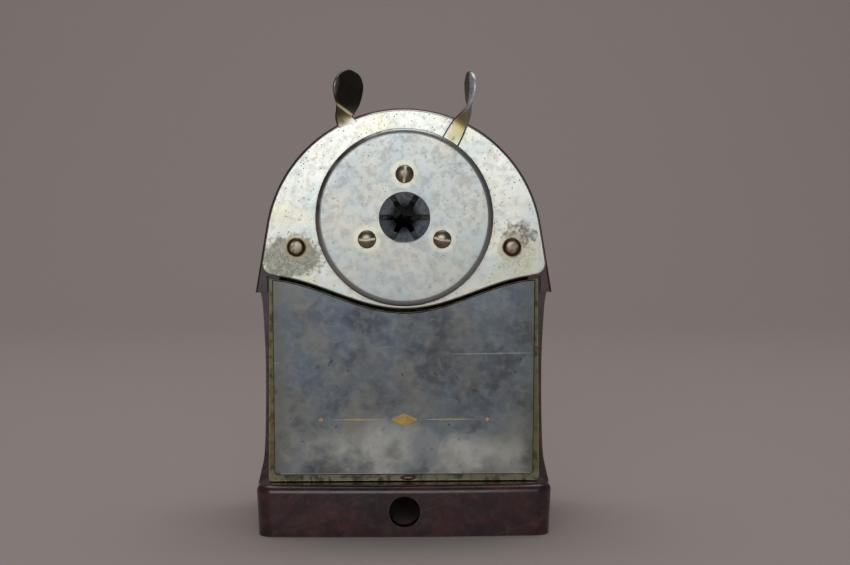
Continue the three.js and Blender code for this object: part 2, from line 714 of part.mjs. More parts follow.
function crankKnob() {
  const side = new THREE.SplineCurve([
    new THREE.Vector2(4.6, KNOB_FRONT), new THREE.Vector2(5.6, 33), new THREE.Vector2(6.9, 38),
    new THREE.Vector2(7.4, 44), new THREE.Vector2(6.6, 49.5), new THREE.Vector2(4.4, KNOB_BACK),
  ]);
  const profile = side.getPoints(8).map((p) => [p.x, p.y]);
  const bore = [[KNOB_BORE, KNOB_BACK], [KNOB_BORE, KNOB_FRONT]];
  return turned([[KNOB_BORE, KNOB_FRONT], ...profile, ...bore], 0, AXIS_Z - CRANK_THROW, 20);
}

// ---------------------------------------------------------------- carriage

function fingerTab() {
  const y = (PLATE_FRONT + PLATE_BACK) / 2;
  const path = new THREE.CatmullRomCurve3(vectors([
    [-13.2, y, 101.2], [-15.1, y, 104.2], [-15.3, y, 106.6], [-14.3, y, 111], [-13.6, y, 116.7],
  ]));
  const roundAt = (t) => Math.sqrt(Math.max(0, 1 - ((t - 0.66) / 0.35) ** 2));
  const widthAt = (t) => (t < 0.34 ? 4.9 : 1.2 + 8.3 * roundAt(t));
  const twistAt = (t) => radians(50) * THREE.MathUtils.smoothstep(t, 0.2, 0.45);
  return blade(path, widthAt, twistAt, PLATE_SHEET, 16);
}

function frontPlate() {
  const sheet = slab(plateOutline(0), PLATE_FRONT, PLATE_RIM_BACK);
  const pocket = slab(plateOutline(PLATE_SHEET), PLATE_BACK, PLATE_RIM_BACK + 5);
  const angles = [...COVER_SCREW_ANGLES, ...GUIDE_PIN_ANGLES];
  const holes = barsOnCircle(SCREW_CIRCLE, angles, PLATE_HOLE_RADIUS, -30, -10);
  const rodHoles = [-1, 1].map((side) => bar(side * ROD_X, ROD_Z, 1.5, -30, -10, 16));
  const bore = bar(0, AXIS_Z, PLATE_BORE, -30, -10, 32);
  return cut(union(cut(sheet, pocket), fingerTab()), bore, ...holes, ...rodHoles);
}

function guideRod(side) {
  const seat = PLATE_FRONT - 0.1;
  const step = PLATE_BACK + SHAFT_CLEARANCE;
  return turned([
    [0, seat - 0.9], [1.6, seat - 0.8], [2.2, seat - 0.4], [2.2, seat], [1.35, seat], [1.35, step],
    [ROD_RADIUS, step], [ROD_RADIUS, ROD_BACK], [0, ROD_BACK],
  ], side * ROD_X, ROD_Z, 20);
}

function rodNut(side) {
  const nut = bar(side * ROD_X, ROD_Z, 3.6, ROD_NUT_FRONT, ROD_BACK - 0.2, 6);
  return cut(nut, bar(side * ROD_X, ROD_Z, ROD_RADIUS + 0.15, 10, 30, 16));
}

function feedSpring(side) {
  return coilSpring(side * ROD_X, ROD_Z, BOSS_BACK + 0.5, ROD_NUT_FRONT - 0.5);
}

function chuckBody() {
  const disc = tube(0, AXIS_Z, 8.4, 15, -23.4, -20.9, 28);
  const angles = [...COVER_SCREW_ANGLES, ...GUIDE_PIN_ANGLES];
  const holes = barsOnCircle(SCREW_CIRCLE, angles, PLATE_HOLE_RADIUS, -30, -10);
  return cut(disc, ...holes);
}

function chuckCover() {
  const shell = turned([
    [MOUTH_RADIUS, COVER_BACK], [MOUTH_RADIUS, COVER_FRONT], [20.3, COVER_FRONT],
    [21.4, COVER_FRONT + 0.5], [COVER_RADIUS, COVER_FRONT + 1.7], [COVER_RADIUS, COVER_RIM_BACK],
    [COVER_RADIUS - 0.8, COVER_RIM_BACK], [COVER_RADIUS - 0.8, COVER_BACK + 0.6],
    [20.4, COVER_BACK], [MOUTH_RADIUS, COVER_BACK],
  ], 0, AXIS_Z, 40);
  const holes = barsOnCircle(SCREW_CIRCLE, COVER_SCREW_ANGLES, 1.5, -35, -27);
  return cut(shell, ...holes);
}

function coverScrew(angle, slotAngle) {
  const [x, z] = onCircle(SCREW_CIRCLE, angle);
  const screw = slottedScrew(
    x, z, COVER_SCREW_RADIUS, COVER_SCREW_FRONT, COVER_FRONT - 0.05, COVER_SHANK_RADIUS,
    COVER_SCREW_BACK, slotAngle,
  );
  return union(screw, bar(x, z, SPACER_RADIUS, RING_FRONT - 0.1, RING_BACK + 0.15, 14));
}

function jawGuidePin(angle) {
  const [x, z] = onCircle(SCREW_CIRCLE, angle);
  const pin = bar(x, z, COVER_SHANK_RADIUS, JAW_FRONT - 0.1, COVER_SCREW_BACK, 12);
  return union(pin, bar(x, z, SPACER_RADIUS, RING_FRONT - 0.1, RING_BACK + 0.15, 14));
}

function camSlot(angle) {
  const radiusAt = (degrees) => CAM_PIN_CIRCLE + (JAW_TRAVEL * degrees) / LEVER_ANGLE;
  const outer = [];
  const inner = [];
  const steps = 6;
  const spare = 5;
  for (let i = 0; i <= steps; i += 1) {
    const turn = -spare + ((LEVER_ANGLE + 2 * spare) * i) / steps;
    const radius = radiusAt(turn);
    const at = radians(angle - turn);
    const direction = [Math.cos(at), Math.sin(at)];
    outer.push(direction.map((share) => share * (radius + CAM_SLOT_HALF_WIDTH)));
    inner.push(direction.map((share) => share * (radius - CAM_SLOT_HALF_WIDTH)));
  }
  const points = [...outer, ...inner.reverse()].map(([x, z]) => [x, z + AXIS_Z]);
  return slab(outline(points), RING_FRONT - 1, RING_BACK + 1);
}

function leverBlade() {
  const y = (RING_FRONT + RING_BACK) / 2;
  const path = new THREE.CatmullRomCurve3(vectors([
    [9.3, y, 95.7], [11.6, y, 99.4], [13.9, y, 103.6], [15.3, y, 107.6], [15.8, y, 111.5], [16.4, y, 116.6],
  ]));
  const roundAt = (t) => Math.sqrt(Math.max(0, 1 - ((t - 0.79) / 0.225) ** 2));
  const widthAt = (t) => (t < 0.62 ? 4.7 : 1.2 + 8.0 * roundAt(t));
  const twistAt = (t) => radians(97) * THREE.MathUtils.smoothstep(t, 0.43, 0.66);
  return blade(path, widthAt, twistAt, 1.05, 20);
}

function camRing() {
  const ring = tube(0, AXIS_Z, RING_INNER, RING_OUTER, RING_FRONT, RING_BACK, 48);
  const slots = JAW_ANGLES.map((angle) => camSlot(angle));
  const core = bar(0, AXIS_Z, RING_INNER, -30, -20, 48);
  return cut(union(ring, cut(leverBlade(), core)), ...slots);
}

function leverSpring() {
  const path = new THREE.CatmullRomCurve3(
    arcPoints(0, AXIS_Z, 19.7, 70, 300, 20).map(([x, z]) => new THREE.Vector3(x, -27.1, z)),
  );
  const wire = outline(arcPoints(0, 0, 0.4, 0, 270, 3));
  return toSolid(new THREE.ExtrudeGeometry(wire, { steps: 26, extrudePath: path }));
}

// One jaw, drawn for the pencil axis along Y and pointing along +X, then turned to its place.
function jaw(angle) {
  const side = outline([
    [JAW_NOSE_RADIUS, JAW_NOSE_BACK], [JAW_NOSE_RADIUS, -25.6], [6.5, JAW_FRONT],
    [JAW_TAIL_END, JAW_FRONT], [JAW_TAIL_END, JAW_TAIL_BACK], [5.6, JAW_TAIL_BACK],
    [4.8, -25.2], [4.8, JAW_NOSE_BACK],
  ]);
  const profile = new THREE.ExtrudeGeometry(side, { depth: 8, bevelEnabled: false });
  profile.translate(0, 0, AXIS_Z - 4);
  const slope = Math.tan(radians(30));
  const halfWidthAt = (u) => u * slope - JAW_GAP;
  const full = (JAW_HALF_WIDTH + JAW_GAP) / slope;
  const end = JAW_TAIL_END - 0.01;
  const corner = 1.2;
  const upper = [
    [end, JAW_HALF_WIDTH - corner], [end - corner, JAW_HALF_WIDTH], [full, JAW_HALF_WIDTH],
    [JAW_NOSE_RADIUS, halfWidthAt(JAW_NOSE_RADIUS)],
  ];
  const lower = upper.map(([u, v]) => [u, -v]).reverse();
  const plan = outline([...lower, ...upper].map(([u, v]) => [u, v + AXIS_Z]));
  const body = slab(plan, -30, -15).intersect(toSolid(profile));
  const slot = slab(outline([
    ...arcPoints(10.75, AXIS_Z, 1.45, -90, 90, 8), ...arcPoints(7.85, AXIS_Z, 1.45, 90, 270, 8),
  ]), -30, -15);
  const camPin = bar(CAM_PIN_CIRCLE, AXIS_Z, CAM_PIN_RADIUS, JAW_TAIL_BACK - 0.3, RING_BACK - 0.15, 16);
  return spunSolid(union(cut(body, slot), camPin), angle);
}

// ---------------------------------------------------------------- drawer

function drawerBox() {
  const flange = slab(drawerFrontOutline(0), DRAWER_FLANGE_FRONT, DRAWER_FLANGE_BACK);
  const outer = block(
    -DRAWER_HALF_WIDTH, DRAWER_HALF_WIDTH, DRAWER_FLANGE_BACK - 0.2, DRAWER_BACK,
    DRAWER_BOTTOM, DRAWER_TOP,
  );
  const inner = block(
    -DRAWER_HALF_WIDTH + DRAWER_SHEET, DRAWER_HALF_WIDTH - DRAWER_SHEET,
    DRAWER_FLANGE_BACK, DRAWER_BACK - DRAWER_SHEET, DRAWER_BOTTOM + DRAWER_SHEET, DRAWER_TOP + 22,
  );
  return cut(union(flange, outer), inner);
}

function drawerFront() {
  return slab(drawerFrontOutline(DRAWER_PANEL_INSET), DRAWER_PANEL_FRONT, DRAWER_FLANGE_FRONT - 0.02);
}

// ---------------------------------------------------------------- assembly

const group = new THREE.Group();
group.position.y = DEPTH_SHIFT;

function place(name, solid, material) {
  const mesh = new THREE.Mesh(toGeometry(solid), material());
  mesh.name = name;
  group.add(mesh);
}

place('housing', housing(), FINISH.bakelite);
place('mechanism_frame', mechanismFrame(), FINISH.casting);
place('ring_gear', ringGear(), FINISH.toolSteel);
place('bearing_bush', bearingBush(), FINISH.brass);
COVER_SCREW_ANGLES.forEach((angle, i) => {
  place(`frame_screw_${i + 1}`, frameScrew(angle), FINISH.dullNickel);
});

place('cutter_carrier', cutterCarrier(), FINISH.casting);
place('cutter_axle', cutterAxle(), FINISH.toolSteel);
place('milling_cutter', millingCutter(), FINISH.toolSteel);
place('cutter_pinion', cutterPinion(), FINISH.toolSteel);
place('crank_arm', crankArm(), FINISH.brightNickel);
place('crank_nut', crankNut(), FINISH.brightNickel);
place('knob_pin', knobPin(), FINISH.brightNickel);
place('crank_knob', crankKnob(), FINISH.turnedWood);

place('front_plate', frontPlate(), FINISH.brightNickel);
place('chuck_body', chuckBody(), FINISH.casting);
place('chuck_cover', chuckCover(), FINISH.dullNickel);
place('cam_ring', camRing(), FINISH.brightNickel);
place('lever_spring', leverSpring(), FINISH.springSteel);
COVER_SCREW_ANGLES.forEach((angle, i) => {
  place(`cover_screw_${i + 1}`, coverScrew(angle, COVER_SCREW_SLOTS[i]), FINISH.dullNickel);
});
GUIDE_PIN_ANGLES.forEach((angle, i) => {
  place(`jaw_guide_pin_${i + 1}`, jawGuidePin(angle), FINISH.toolSteel);
});
JAW_ANGLES.forEach((angle, i) => {
  place(`jaw_${i + 1}`, jaw(angle), FINISH.bluedSteel);
});
[['left', -1], ['right', 1]].forEach(([name, side]) => {
  place(`guide_rod_${name}`, guideRod(side), FINISH.dullNickel);
  place(`rod_nut_${name}`, rodNut(side), FINISH.dullNickel);
  place(`feed_spring_${name}`, feedSpring(side), FINISH.springSteel);
  place(`guide_bush_${name}`, guideBush(side), FINISH.brass);
});

place('drawer_box', drawerBox(), FINISH.tarnished);
place('drawer_front', drawerFront(), FINISH.tarnished);

export default group;
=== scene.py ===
"""Desk pencil sharpener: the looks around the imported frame.

Pieces are drawn in millimetres, with depths measured from the middle of the housing as a maker's
drawing has them, and TO_FRAME brings each finished mesh into the frame in metres.
"""
import math

import bmesh
import bpy
from mathutils import Matrix, Vector


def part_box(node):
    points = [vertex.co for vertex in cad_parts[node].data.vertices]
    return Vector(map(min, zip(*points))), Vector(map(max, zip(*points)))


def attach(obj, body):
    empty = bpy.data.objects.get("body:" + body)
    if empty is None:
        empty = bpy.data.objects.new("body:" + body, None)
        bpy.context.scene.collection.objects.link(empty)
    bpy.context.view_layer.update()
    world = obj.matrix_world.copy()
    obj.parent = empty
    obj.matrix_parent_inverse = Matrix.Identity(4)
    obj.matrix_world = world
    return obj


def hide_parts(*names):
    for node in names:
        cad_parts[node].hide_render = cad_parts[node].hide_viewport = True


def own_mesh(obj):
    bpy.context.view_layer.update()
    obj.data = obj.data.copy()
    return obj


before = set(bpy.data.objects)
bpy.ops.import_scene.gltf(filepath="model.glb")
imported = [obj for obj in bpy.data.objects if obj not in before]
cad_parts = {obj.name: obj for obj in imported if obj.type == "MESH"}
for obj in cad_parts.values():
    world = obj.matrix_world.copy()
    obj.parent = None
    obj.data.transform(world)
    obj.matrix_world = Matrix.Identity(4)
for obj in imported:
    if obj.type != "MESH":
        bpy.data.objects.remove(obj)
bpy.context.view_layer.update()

# ---------------------------------------------------------------- sizes taken from the frame

MM = 0.001


def span(node):
    """Lowest and highest corner of a frame node in millimetres."""
    low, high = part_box(node)
    return low / MM, high / MM


HOUSING_LOW, HOUSING_HIGH = span("housing")
COVER_LOW, COVER_HIGH = span("chuck_cover")
BASE_BACK = 25.0
DATUM_Y = HOUSING_HIGH.y - BASE_BACK          # the middle of the housing in the frame
TO_FRAME = Matrix.Diagonal((MM, MM, MM, 1)) @ Matrix.Translation((0, DATUM_Y, 0))

AXIS_Z = (COVER_LOW.z + COVER_HIGH.z) / 2     # pencil, chuck and crank axis
COVER_RADIUS = (COVER_HIGH.x - COVER_LOW.x) / 2
ROD_X = (span("guide_rod_right")[0].x + span("guide_rod_right")[1].x) / 2
ROD_Z = (span("guide_rod_right")[0].z + span("guide_rod_right")[1].z) / 2
CRANK_THROW = AXIS_Z - (span("crank_knob")[0].z + span("crank_knob")[1].z) / 2

HEAD_CENTRE_Z = 72.5
HEAD_RADIUS = HOUSING_HIGH.z - HEAD_CENTRE_Z
LEG_FLARE = math.radians(9.5)
SHOULDER_Z = 61.3
HEAD_FRONT = -21.7
HEAD_BACK = 23.0
PLATE_RADIUS = 34.4
PLATE_FRONT = -24.5
PLATE_RIM_BACK = -22.0
COVER_FRONT = -29.1
COVER_BACK = -28.3
COVER_RIM_BACK = -26.3
MOUTH_RADIUS = 6.1
SCREW_CIRCLE = 10.7
SCREW_ANGLES = (90, 210, 330)
SCREW_SLOT_TURNS = (84, 3, -12)
JAW_ANGLES = (30, 90, 150, 210, 270, 330)
CAM_PIN_RADIUS = 14.2
CAM_SWING = 38
CAM_SLOT_SPARE = 5            # degrees of slot beyond the pin at each end
JAW_TRAVEL = 2.9
DRAWER_BOTTOM = 13.3
DRAWER_FACE = -21.05
DRAWER_FLANGE = -20.4
DRAWER_GAP = 1.2
FRAME_SCREW_CIRCLE = 16.4
CAMERA_REACH = 0.400          # metres from the housing's front
CAMERA_PITCH = 3.57           # degrees down
CAMERA_YAW = 1.75

# ---------------------------------------------------------------- mesh making


def prism(outline, front, back):
    """A flat outline in X and Z made solid between two depths."""
    bm = bmesh.new()
    near = [bm.verts.new((x, front, z)) for x, z in outline]
    far = [bm.verts.new((x, back, z)) for x, z in outline]
    bm.faces.new(near)
    bm.faces.new(reversed(far))
    for i in range(len(outline)):
        j = (i + 1) % len(outline)
        bm.faces.new((near[j], near[i], far[i], far[j]))
    bmesh.ops.recalc_face_normals(bm, faces=bm.faces)
    return bm


def turned(profile, x=0.0, z=AXIS_Z, segments=96, closed=False):
    """A turned piece about an axis along Y; the profile is a list of (radius, depth)."""
    bm = bmesh.new()
    rings = []
    for radius, depth in profile:
        count = 1 if radius < 1e-6 else segments
        rings.append([
            bm.verts.new((
                x + radius * math.cos(2 * math.pi * k / segments), depth,
                z + radius * math.sin(2 * math.pi * k / segments),
            )) for k in range(count)
        ])
    followers = rings[1:] + (rings[:1] if closed else [])
    for ring, following in zip(rings, followers):
        for k in range(segments):
            quad = [
                ring[k % len(ring)], ring[(k + 1) % len(ring)],
                following[(k + 1) % len(following)], following[k % len(following)],
            ]
            corners = list(dict.fromkeys(quad))
            if len(corners) > 2:
                bm.faces.new(corners)
    bmesh.ops.recalc_face_normals(bm, faces=bm.faces)
    return bm


def bar(x, z, radius, front, back, segments=48):
    return turned([(0, front), (radius, front), (radius, back), (0, back)], x, z, segments)


def block(low, high):
    bm = bmesh.new()
    bmesh.ops.create_cube(bm, size=1.0)
    middle = (Vector(low) + Vector(high)) / 2
    size = Vector(high) - Vector(low)
    bm.transform(Matrix.Translation(middle) @ Matrix.Diagonal((*size, 1)))
    return bm


def spun(bm, degrees):
    """Turns a mesh about the pencil axis, counter-clockwise seen from the front."""
    centre = Matrix.Translation((0, 0, AXIS_Z))
    bm.transform(centre @ Matrix.Rotation(-math.radians(degrees), 4, "Y") @ centre.inverted())
    return bm


def swept(points, radius, sides=8):
    """A round wire along a list of points, with closed ends."""
    bm = bmesh.new()
    rings = []
    normal = Vector((0, 0, 1))
    for i, point in enumerate(points):
        ahead = points[min(i + 1, len(points) - 1)]
        behind = points[max(i - 1, 0)]
        along = (ahead - behind).normalized()
        across = normal.cross(along)
        if across.length < 1e-3:
            across = Vector((1, 0, 0)).cross(along)
        across.normalize()
        normal = along.cross(across).normalized()
        rings.append([
            bm.verts.new(
                point + radius * (
                    math.cos(2 * math.pi * k / sides) * across + math.sin(2 * math.pi * k / sides) * normal
                )
            ) for k in range(sides)
        ])
    for ring, following in zip(rings, rings[1:]):
        for k in range(sides):
            bm.faces.new((ring[k], ring[(k + 1) % sides], following[(k + 1) % sides], following[k]))
    bm.faces.new(rings[0])
    bm.faces.new(reversed(rings[-1]))
    bmesh.ops.recalc_face_normals(bm, faces=bm.faces)
    return bm


def catmull(points, steps):
    """A smooth line through a few points."""
    path = []
    guarded = [2 * points[0] - points[1], *points, 2 * points[-1] - points[-2]]
    for i in range(1, len(guarded) - 2):
        a, b, c, d = guarded[i - 1:i + 3]
        for step in range(steps):
            t = step / steps
            path.append(0.5 * (
                2 * b + (c - a) * t + (2 * a - 5 * b + 4 * c - d) * t ** 2
                + (3 * b - a - 3 * c + d) * t ** 3
            ))
    path.append(points[-1])
    return path


def smoothstep(value, low, high):
    t = min(1.0, max(0.0, (value - low) / (high - low)))
    return t * t * (3 - 2 * t)


def arc(x, z, radius, start, stop, steps):
    points = []
    for i in range(steps + 1):
        angle = math.radians(start + (stop - start) * i / steps)
        points.append((x + radius * math.cos(angle), z + radius * math.sin(angle)))
    return points


def on_circle(radius, degrees):
    angle = math.radians(degrees)
    return radius * math.cos(angle), AXIS_Z + radius * math.sin(angle)


# ---------------------------------------------------------------- from mesh to finished piece


def work_object(bm, name):
    mesh = bpy.data.meshes.new(name)
    bm.to_mesh(mesh)
    bm.free()
    piece = bpy.data.objects.new(name, mesh)
    bpy.context.scene.collection.objects.link(piece)
    return piece


def shaped(name, bm, joins=(), cuts=(), round_by=0.0, round_steps=3, round_angle=35, smooth_angle=38):
    """A finished piece: joined, cut, its edges rounded, then brought into the frame."""
    piece = work_object(bm, name)
    helpers = []
    for operation, tools in (("UNION", joins), ("DIFFERENCE", cuts)):
        for tool in tools:
            helper = work_object(tool, name + "_tool")
            helpers.append(helper)
            step = piece.modifiers.new("form", "BOOLEAN")
            step.operation = operation
            step.solver = "EXACT"
            step.object = helper
    if round_by > 0:
        edge = piece.modifiers.new("edge", "BEVEL")
        edge.width = round_by
        edge.segments = round_steps
        edge.limit_method = "ANGLE"
        edge.angle_limit = math.radians(round_angle)
        edge.use_clamp_overlap = True
        edge.miter_outer = "MITER_ARC"
    bpy.context.view_layer.update()
    finished = bpy.data.meshes.new_from_object(piece.evaluated_get(bpy.context.evaluated_depsgraph_get()))
    piece.modifiers.clear()
    rough = piece.data
    piece.data = finished
    bpy.data.meshes.remove(rough)
    for helper in helpers:
        tool_mesh = helper.data
        bpy.data.objects.remove(helper)
        bpy.data.meshes.remove(tool_mesh)
    finished.name = name
    tidy = bmesh.new()
    tidy.from_mesh(finished)
    bmesh.ops.remove_doubles(tidy, verts=tidy.verts, dist=1e-4)
    bmesh.ops.dissolve_degenerate(tidy, edges=tidy.edges, dist=1e-4)
    tidy.transform(TO_FRAME)
    for face in tidy.faces:
        face.smooth = True
    for edge in tidy.edges:
        if len(edge.link_faces) == 2 and edge.calc_face_angle(0) > math.radians(smooth_angle):
            edge.smooth = False
    tidy.to_mesh(finished)
    tidy.free()
    weighted = piece.modifiers.new("shading", "WEIGHTED_NORMAL")
    weighted.keep_sharp = True
    weighted.weight = 60
    return piece


def fit(piece, body, material, slot, *nodes):
    """Puts a finished piece on its body, with its finish, in place of the frame's nodes."""
    piece.data.materials.clear()
    piece.data.materials.append(material)
    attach(piece, body)
    if nodes:
        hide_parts(*nodes)
    return piece


# ---------------------------------------------------------------- shader building blocks


def add(tree, kind, **settings):
    node = tree.nodes.new(kind)
    for key, value in settings.items():
        setattr(node, key, value)
    return node


def feed(tree, source, target):
    tree.links.new(source, target)


def math_node(tree, operation, first, second=None, clamp=False):
    node = add(tree, "ShaderNodeMath", operation=operation, use_clamp=clamp)
    for socket, value in zip(node.inputs, (first, second)):
        if value is None:
            continue
        if hasattr(value, "is_output"):
            feed(tree, value, socket)
        else:
            socket.default_value = value
    return node.outputs[0]


def noise_node(tree, vector, scale, detail=None):
    """A noise texture; its scale is a number or another node's output."""
    noise = add(tree, "ShaderNodeTexNoise")
    feed(tree, vector, noise.inputs["Vector"])
    if hasattr(scale, "is_output"):
        feed(tree, scale, noise.inputs["Scale"])
    else:
        noise.inputs["Scale"].default_value = scale
    if detail is not None:
        noise.inputs["Detail"].default_value = detail
    return noise


def new_group(name, inputs, outputs):
    """An empty shader group: inputs as (name, kind, value), outputs as (name, kind)."""
    tree = bpy.data.node_groups.new(name, "ShaderNodeTree")
    for label, kind, value in inputs:
        socket = tree.interface.new_socket(label, in_out="INPUT", socket_type=kind)
        if value is not None:
            socket.default_value = value
    for label, kind in outputs:
        tree.interface.new_socket(label, in_out="OUTPUT", socket_type=kind)
    return tree, tree.nodes.new("NodeGroupInput"), tree.nodes.new("NodeGroupOutput")


def clouds_group():
    """Soft blotches: 0 outside, 1 inside, with Threshold the share left clear."""
    tree, given, result = new_group(
        "soft_blotches",
        [("Vector", "NodeSocketVector", None), ("Scale", "NodeSocketFloat", 100.0),
         ("Threshold", "NodeSocketFloat", 0.5), ("Softness", "NodeSocketFloat", 0.15),
         ("Detail", "NodeSocketFloat", 5.0), ("Distortion", "NodeSocketFloat", 0.4)],
        [("Mask", "NodeSocketFloat"), ("Value", "NodeSocketFloat")],
    )
    noise = noise_node(tree, given.outputs["Vector"], given.outputs["Scale"])
    feed(tree, given.outputs["Detail"], noise.inputs["Detail"])
    feed(tree, given.outputs["Distortion"], noise.inputs["Distortion"])
    noise.inputs["Roughness"].default_value = 0.6
    ramp = add(tree, "ShaderNodeMapRange", interpolation_type="SMOOTHSTEP")
    low = math_node(tree, "SUBTRACT", given.outputs["Threshold"], given.outputs["Softness"])
    high = math_node(tree, "ADD", given.outputs["Threshold"], given.outputs["Softness"])
    feed(tree, noise.outputs["Fac"], ramp.inputs["Value"])
    feed(tree, low, ramp.inputs["From Min"])
    feed(tree, high, ramp.inputs["From Max"])
    feed(tree, ramp.outputs["Result"], result.inputs["Mask"])
    feed(tree, noise.outputs["Fac"], result.inputs["Value"])
    return tree


def specks_group():
    """Small round specks, gathered where a broad noise is high."""
    tree, given, result = new_group(
        "scattered_specks",
        [("Vector", "NodeSocketVector", None), ("Scale", "NodeSocketFloat", 900.0),
         ("Size", "NodeSocketFloat", 0.25), ("Gather", "NodeSocketFloat", 0.5)],
        [("Mask", "NodeSocketFloat")],
    )
    cells = add(tree, "ShaderNodeTexVoronoi")
    feed(tree, given.outputs["Vector"], cells.inputs["Vector"])
    feed(tree, given.outputs["Scale"], cells.inputs["Scale"])
    dot = add(tree, "ShaderNodeMapRange", interpolation_type="SMOOTHSTEP")
    feed(tree, cells.outputs["Distance"], dot.inputs["Value"])
    feed(tree, math_node(tree, "MULTIPLY", given.outputs["Size"], 0.4), dot.inputs["From Min"])
    feed(tree, given.outputs["Size"], dot.inputs["From Max"])
    dot.inputs["To Min"].default_value = 1.0
    dot.inputs["To Max"].default_value = 0.0
    chosen = add(tree, "ShaderNodeSeparateColor")
    feed(tree, cells.outputs["Color"], chosen.inputs["Color"])
    broad = noise_node(tree, given.outputs["Vector"], 110.0)
    limit = math_node(tree, "MULTIPLY", broad.outputs["Fac"], given.outputs["Gather"])
    keep = math_node(tree, "LESS_THAN", chosen.outputs["Red"], limit)
    feed(tree, math_node(tree, "MULTIPLY", dot.outputs["Result"], keep), result.inputs["Mask"])
    return tree


def scratches_group():
    """Fine scratches: noise drawn out along one direction, broken into separate strokes."""
    tree, given, result = new_group(
        "fine_scratches",
        [("Vector", "NodeSocketVector", None), ("Turn", "NodeSocketFloat", 0.0),
         ("Scale", "NodeSocketFloat", 60.0), ("Stretch", "NodeSocketFloat", 40.0),
         ("Threshold", "NodeSocketFloat", 0.66)],
        [("Mask", "NodeSocketFloat")],
    )
    turn = add(tree, "ShaderNodeVectorRotate", rotation_type="Y_AXIS")
    feed(tree, given.outputs["Vector"], turn.inputs["Vector"])
    feed(tree, given.outputs["Turn"], turn.inputs["Angle"])
    squeeze = add(tree, "ShaderNodeCombineXYZ")
    squeeze.inputs["X"].default_value = 1.0
    squeeze.inputs["Y"].default_value = 1.0
    feed(tree, given.outputs["Stretch"], squeeze.inputs["Z"])
    drawn = add(tree, "ShaderNodeVectorMath", operation="MULTIPLY")
    feed(tree, turn.outputs["Vector"], drawn.inputs[0])
    feed(tree, squeeze.outputs["Vector"], drawn.inputs[1])
    noise = noise_node(tree, drawn.outputs["Vector"], given.outputs["Scale"], 2.0)
    stroke = add(tree, "ShaderNodeMapRange", interpolation_type="SMOOTHSTEP")
    feed(tree, noise.outputs["Fac"], stroke.inputs["Value"])
    feed(tree, given.outputs["Threshold"], stroke.inputs["From Min"])
    feed(tree, math_node(tree, "ADD", given.outputs["Threshold"], 0.06), stroke.inputs["From Max"])
    feed(tree, stroke.outputs["Result"], result.inputs["Mask"])
    return tree


def patch_group():
    """A local patch round Centre, with a ragged border; Size is its half-length along each axis."""
    tree, given, result = new_group(
        "local_patch",
        [("Vector", "NodeSocketVector", None), ("Centre", "NodeSocketVector", (0, 0, 0)),
         ("Size", "NodeSocketVector", (0.005, 1.0, 0.005)), ("Ragged", "NodeSocketFloat", 0.4),
         ("Scale", "NodeSocketFloat", 300.0), ("Softness", "NodeSocketFloat", 0.25),
         ("Turn", "NodeSocketFloat", 0.0)],
        [("Mask", "NodeSocketFloat")],
    )
    away = add(tree, "ShaderNodeVectorMath", operation="SUBTRACT")
    feed(tree, given.outputs["Vector"], away.inputs[0])
    feed(tree, given.outputs["Centre"], away.inputs[1])
    turn = add(tree, "ShaderNodeVectorRotate", rotation_type="Y_AXIS")
    feed(tree, away.outputs["Vector"], turn.inputs["Vector"])
    feed(tree, given.outputs["Turn"], turn.inputs["Angle"])
    share = add(tree, "ShaderNodeVectorMath", operation="DIVIDE")
    feed(tree, turn.outputs["Vector"], share.inputs[0])
    feed(tree, given.outputs["Size"], share.inputs[1])
    length = add(tree, "ShaderNodeVectorMath", operation="LENGTH")
    feed(tree, share.outputs["Vector"], length.inputs[0])
    noise = noise_node(tree, given.outputs["Vector"], given.outputs["Scale"], 4.0)
    centred = math_node(tree, "SUBTRACT", noise.outputs["Fac"], 0.5)
    wander = math_node(tree, "MULTIPLY", centred, given.outputs["Ragged"])
    reach = math_node(tree, "ADD", length.outputs["Value"], math_node(tree, "MULTIPLY", wander, 2.0))
    edge = add(tree, "ShaderNodeMapRange", interpolation_type="SMOOTHSTEP")
    feed(tree, reach, edge.inputs["Value"])
    feed(tree, math_node(tree, "SUBTRACT", 1.0, given.outputs["Softness"]), edge.inputs["From Min"])
    feed(tree, math_node(tree, "ADD", 1.0, given.outputs["Softness"]), edge.inputs["From Max"])
    edge.inputs["To Min"].default_value = 1.0
    edge.inputs["To Max"].default_value = 0.0
    feed(tree, edge.outputs["Result"], result.inputs["Mask"])
    return tree


def wear_group():
    """Where an edge is rubbed: the rounded normal differs from the true one there."""
    tree, given, result = new_group(
        "edge_wear",
        [("Vector", "NodeSocketVector", None), ("Radius", "NodeSocketFloat", 0.0006),
         ("Amount", "NodeSocketFloat", 6.0), ("Scale", "NodeSocketFloat", 500.0)],
        [("Mask", "NodeSocketFloat")],
    )
    rounded = add(tree, "ShaderNodeBevel", samples=6)
    feed(tree, given.outputs["Radius"], rounded.inputs["Radius"])
    geometry = add(tree, "ShaderNodeNewGeometry")
    agree = add(tree, "ShaderNodeVectorMath", operation="DOT_PRODUCT")
    feed(tree, rounded.outputs["Normal"], agree.inputs[0])
    feed(tree, geometry.outputs["Normal"], agree.inputs[1])
    bend = math_node(tree, "SUBTRACT", 1.0, agree.outputs["Value"], clamp=True)
    noise = noise_node(tree, given.outputs["Vector"], given.outputs["Scale"], 4.0)
    rubbed = math_node(tree, "MULTIPLY", bend, given.outputs["Amount"])
    broken = math_node(tree, "MULTIPLY", rubbed, noise.outputs["Fac"], clamp=True)
    feed(tree, broken, result.inputs["Mask"])
    return tree


GROUPS = {
    "clouds": clouds_group(),
    "specks": specks_group(),
    "scratches": scratches_group(),
    "patch": patch_group(),
    "wear": wear_group(),
}


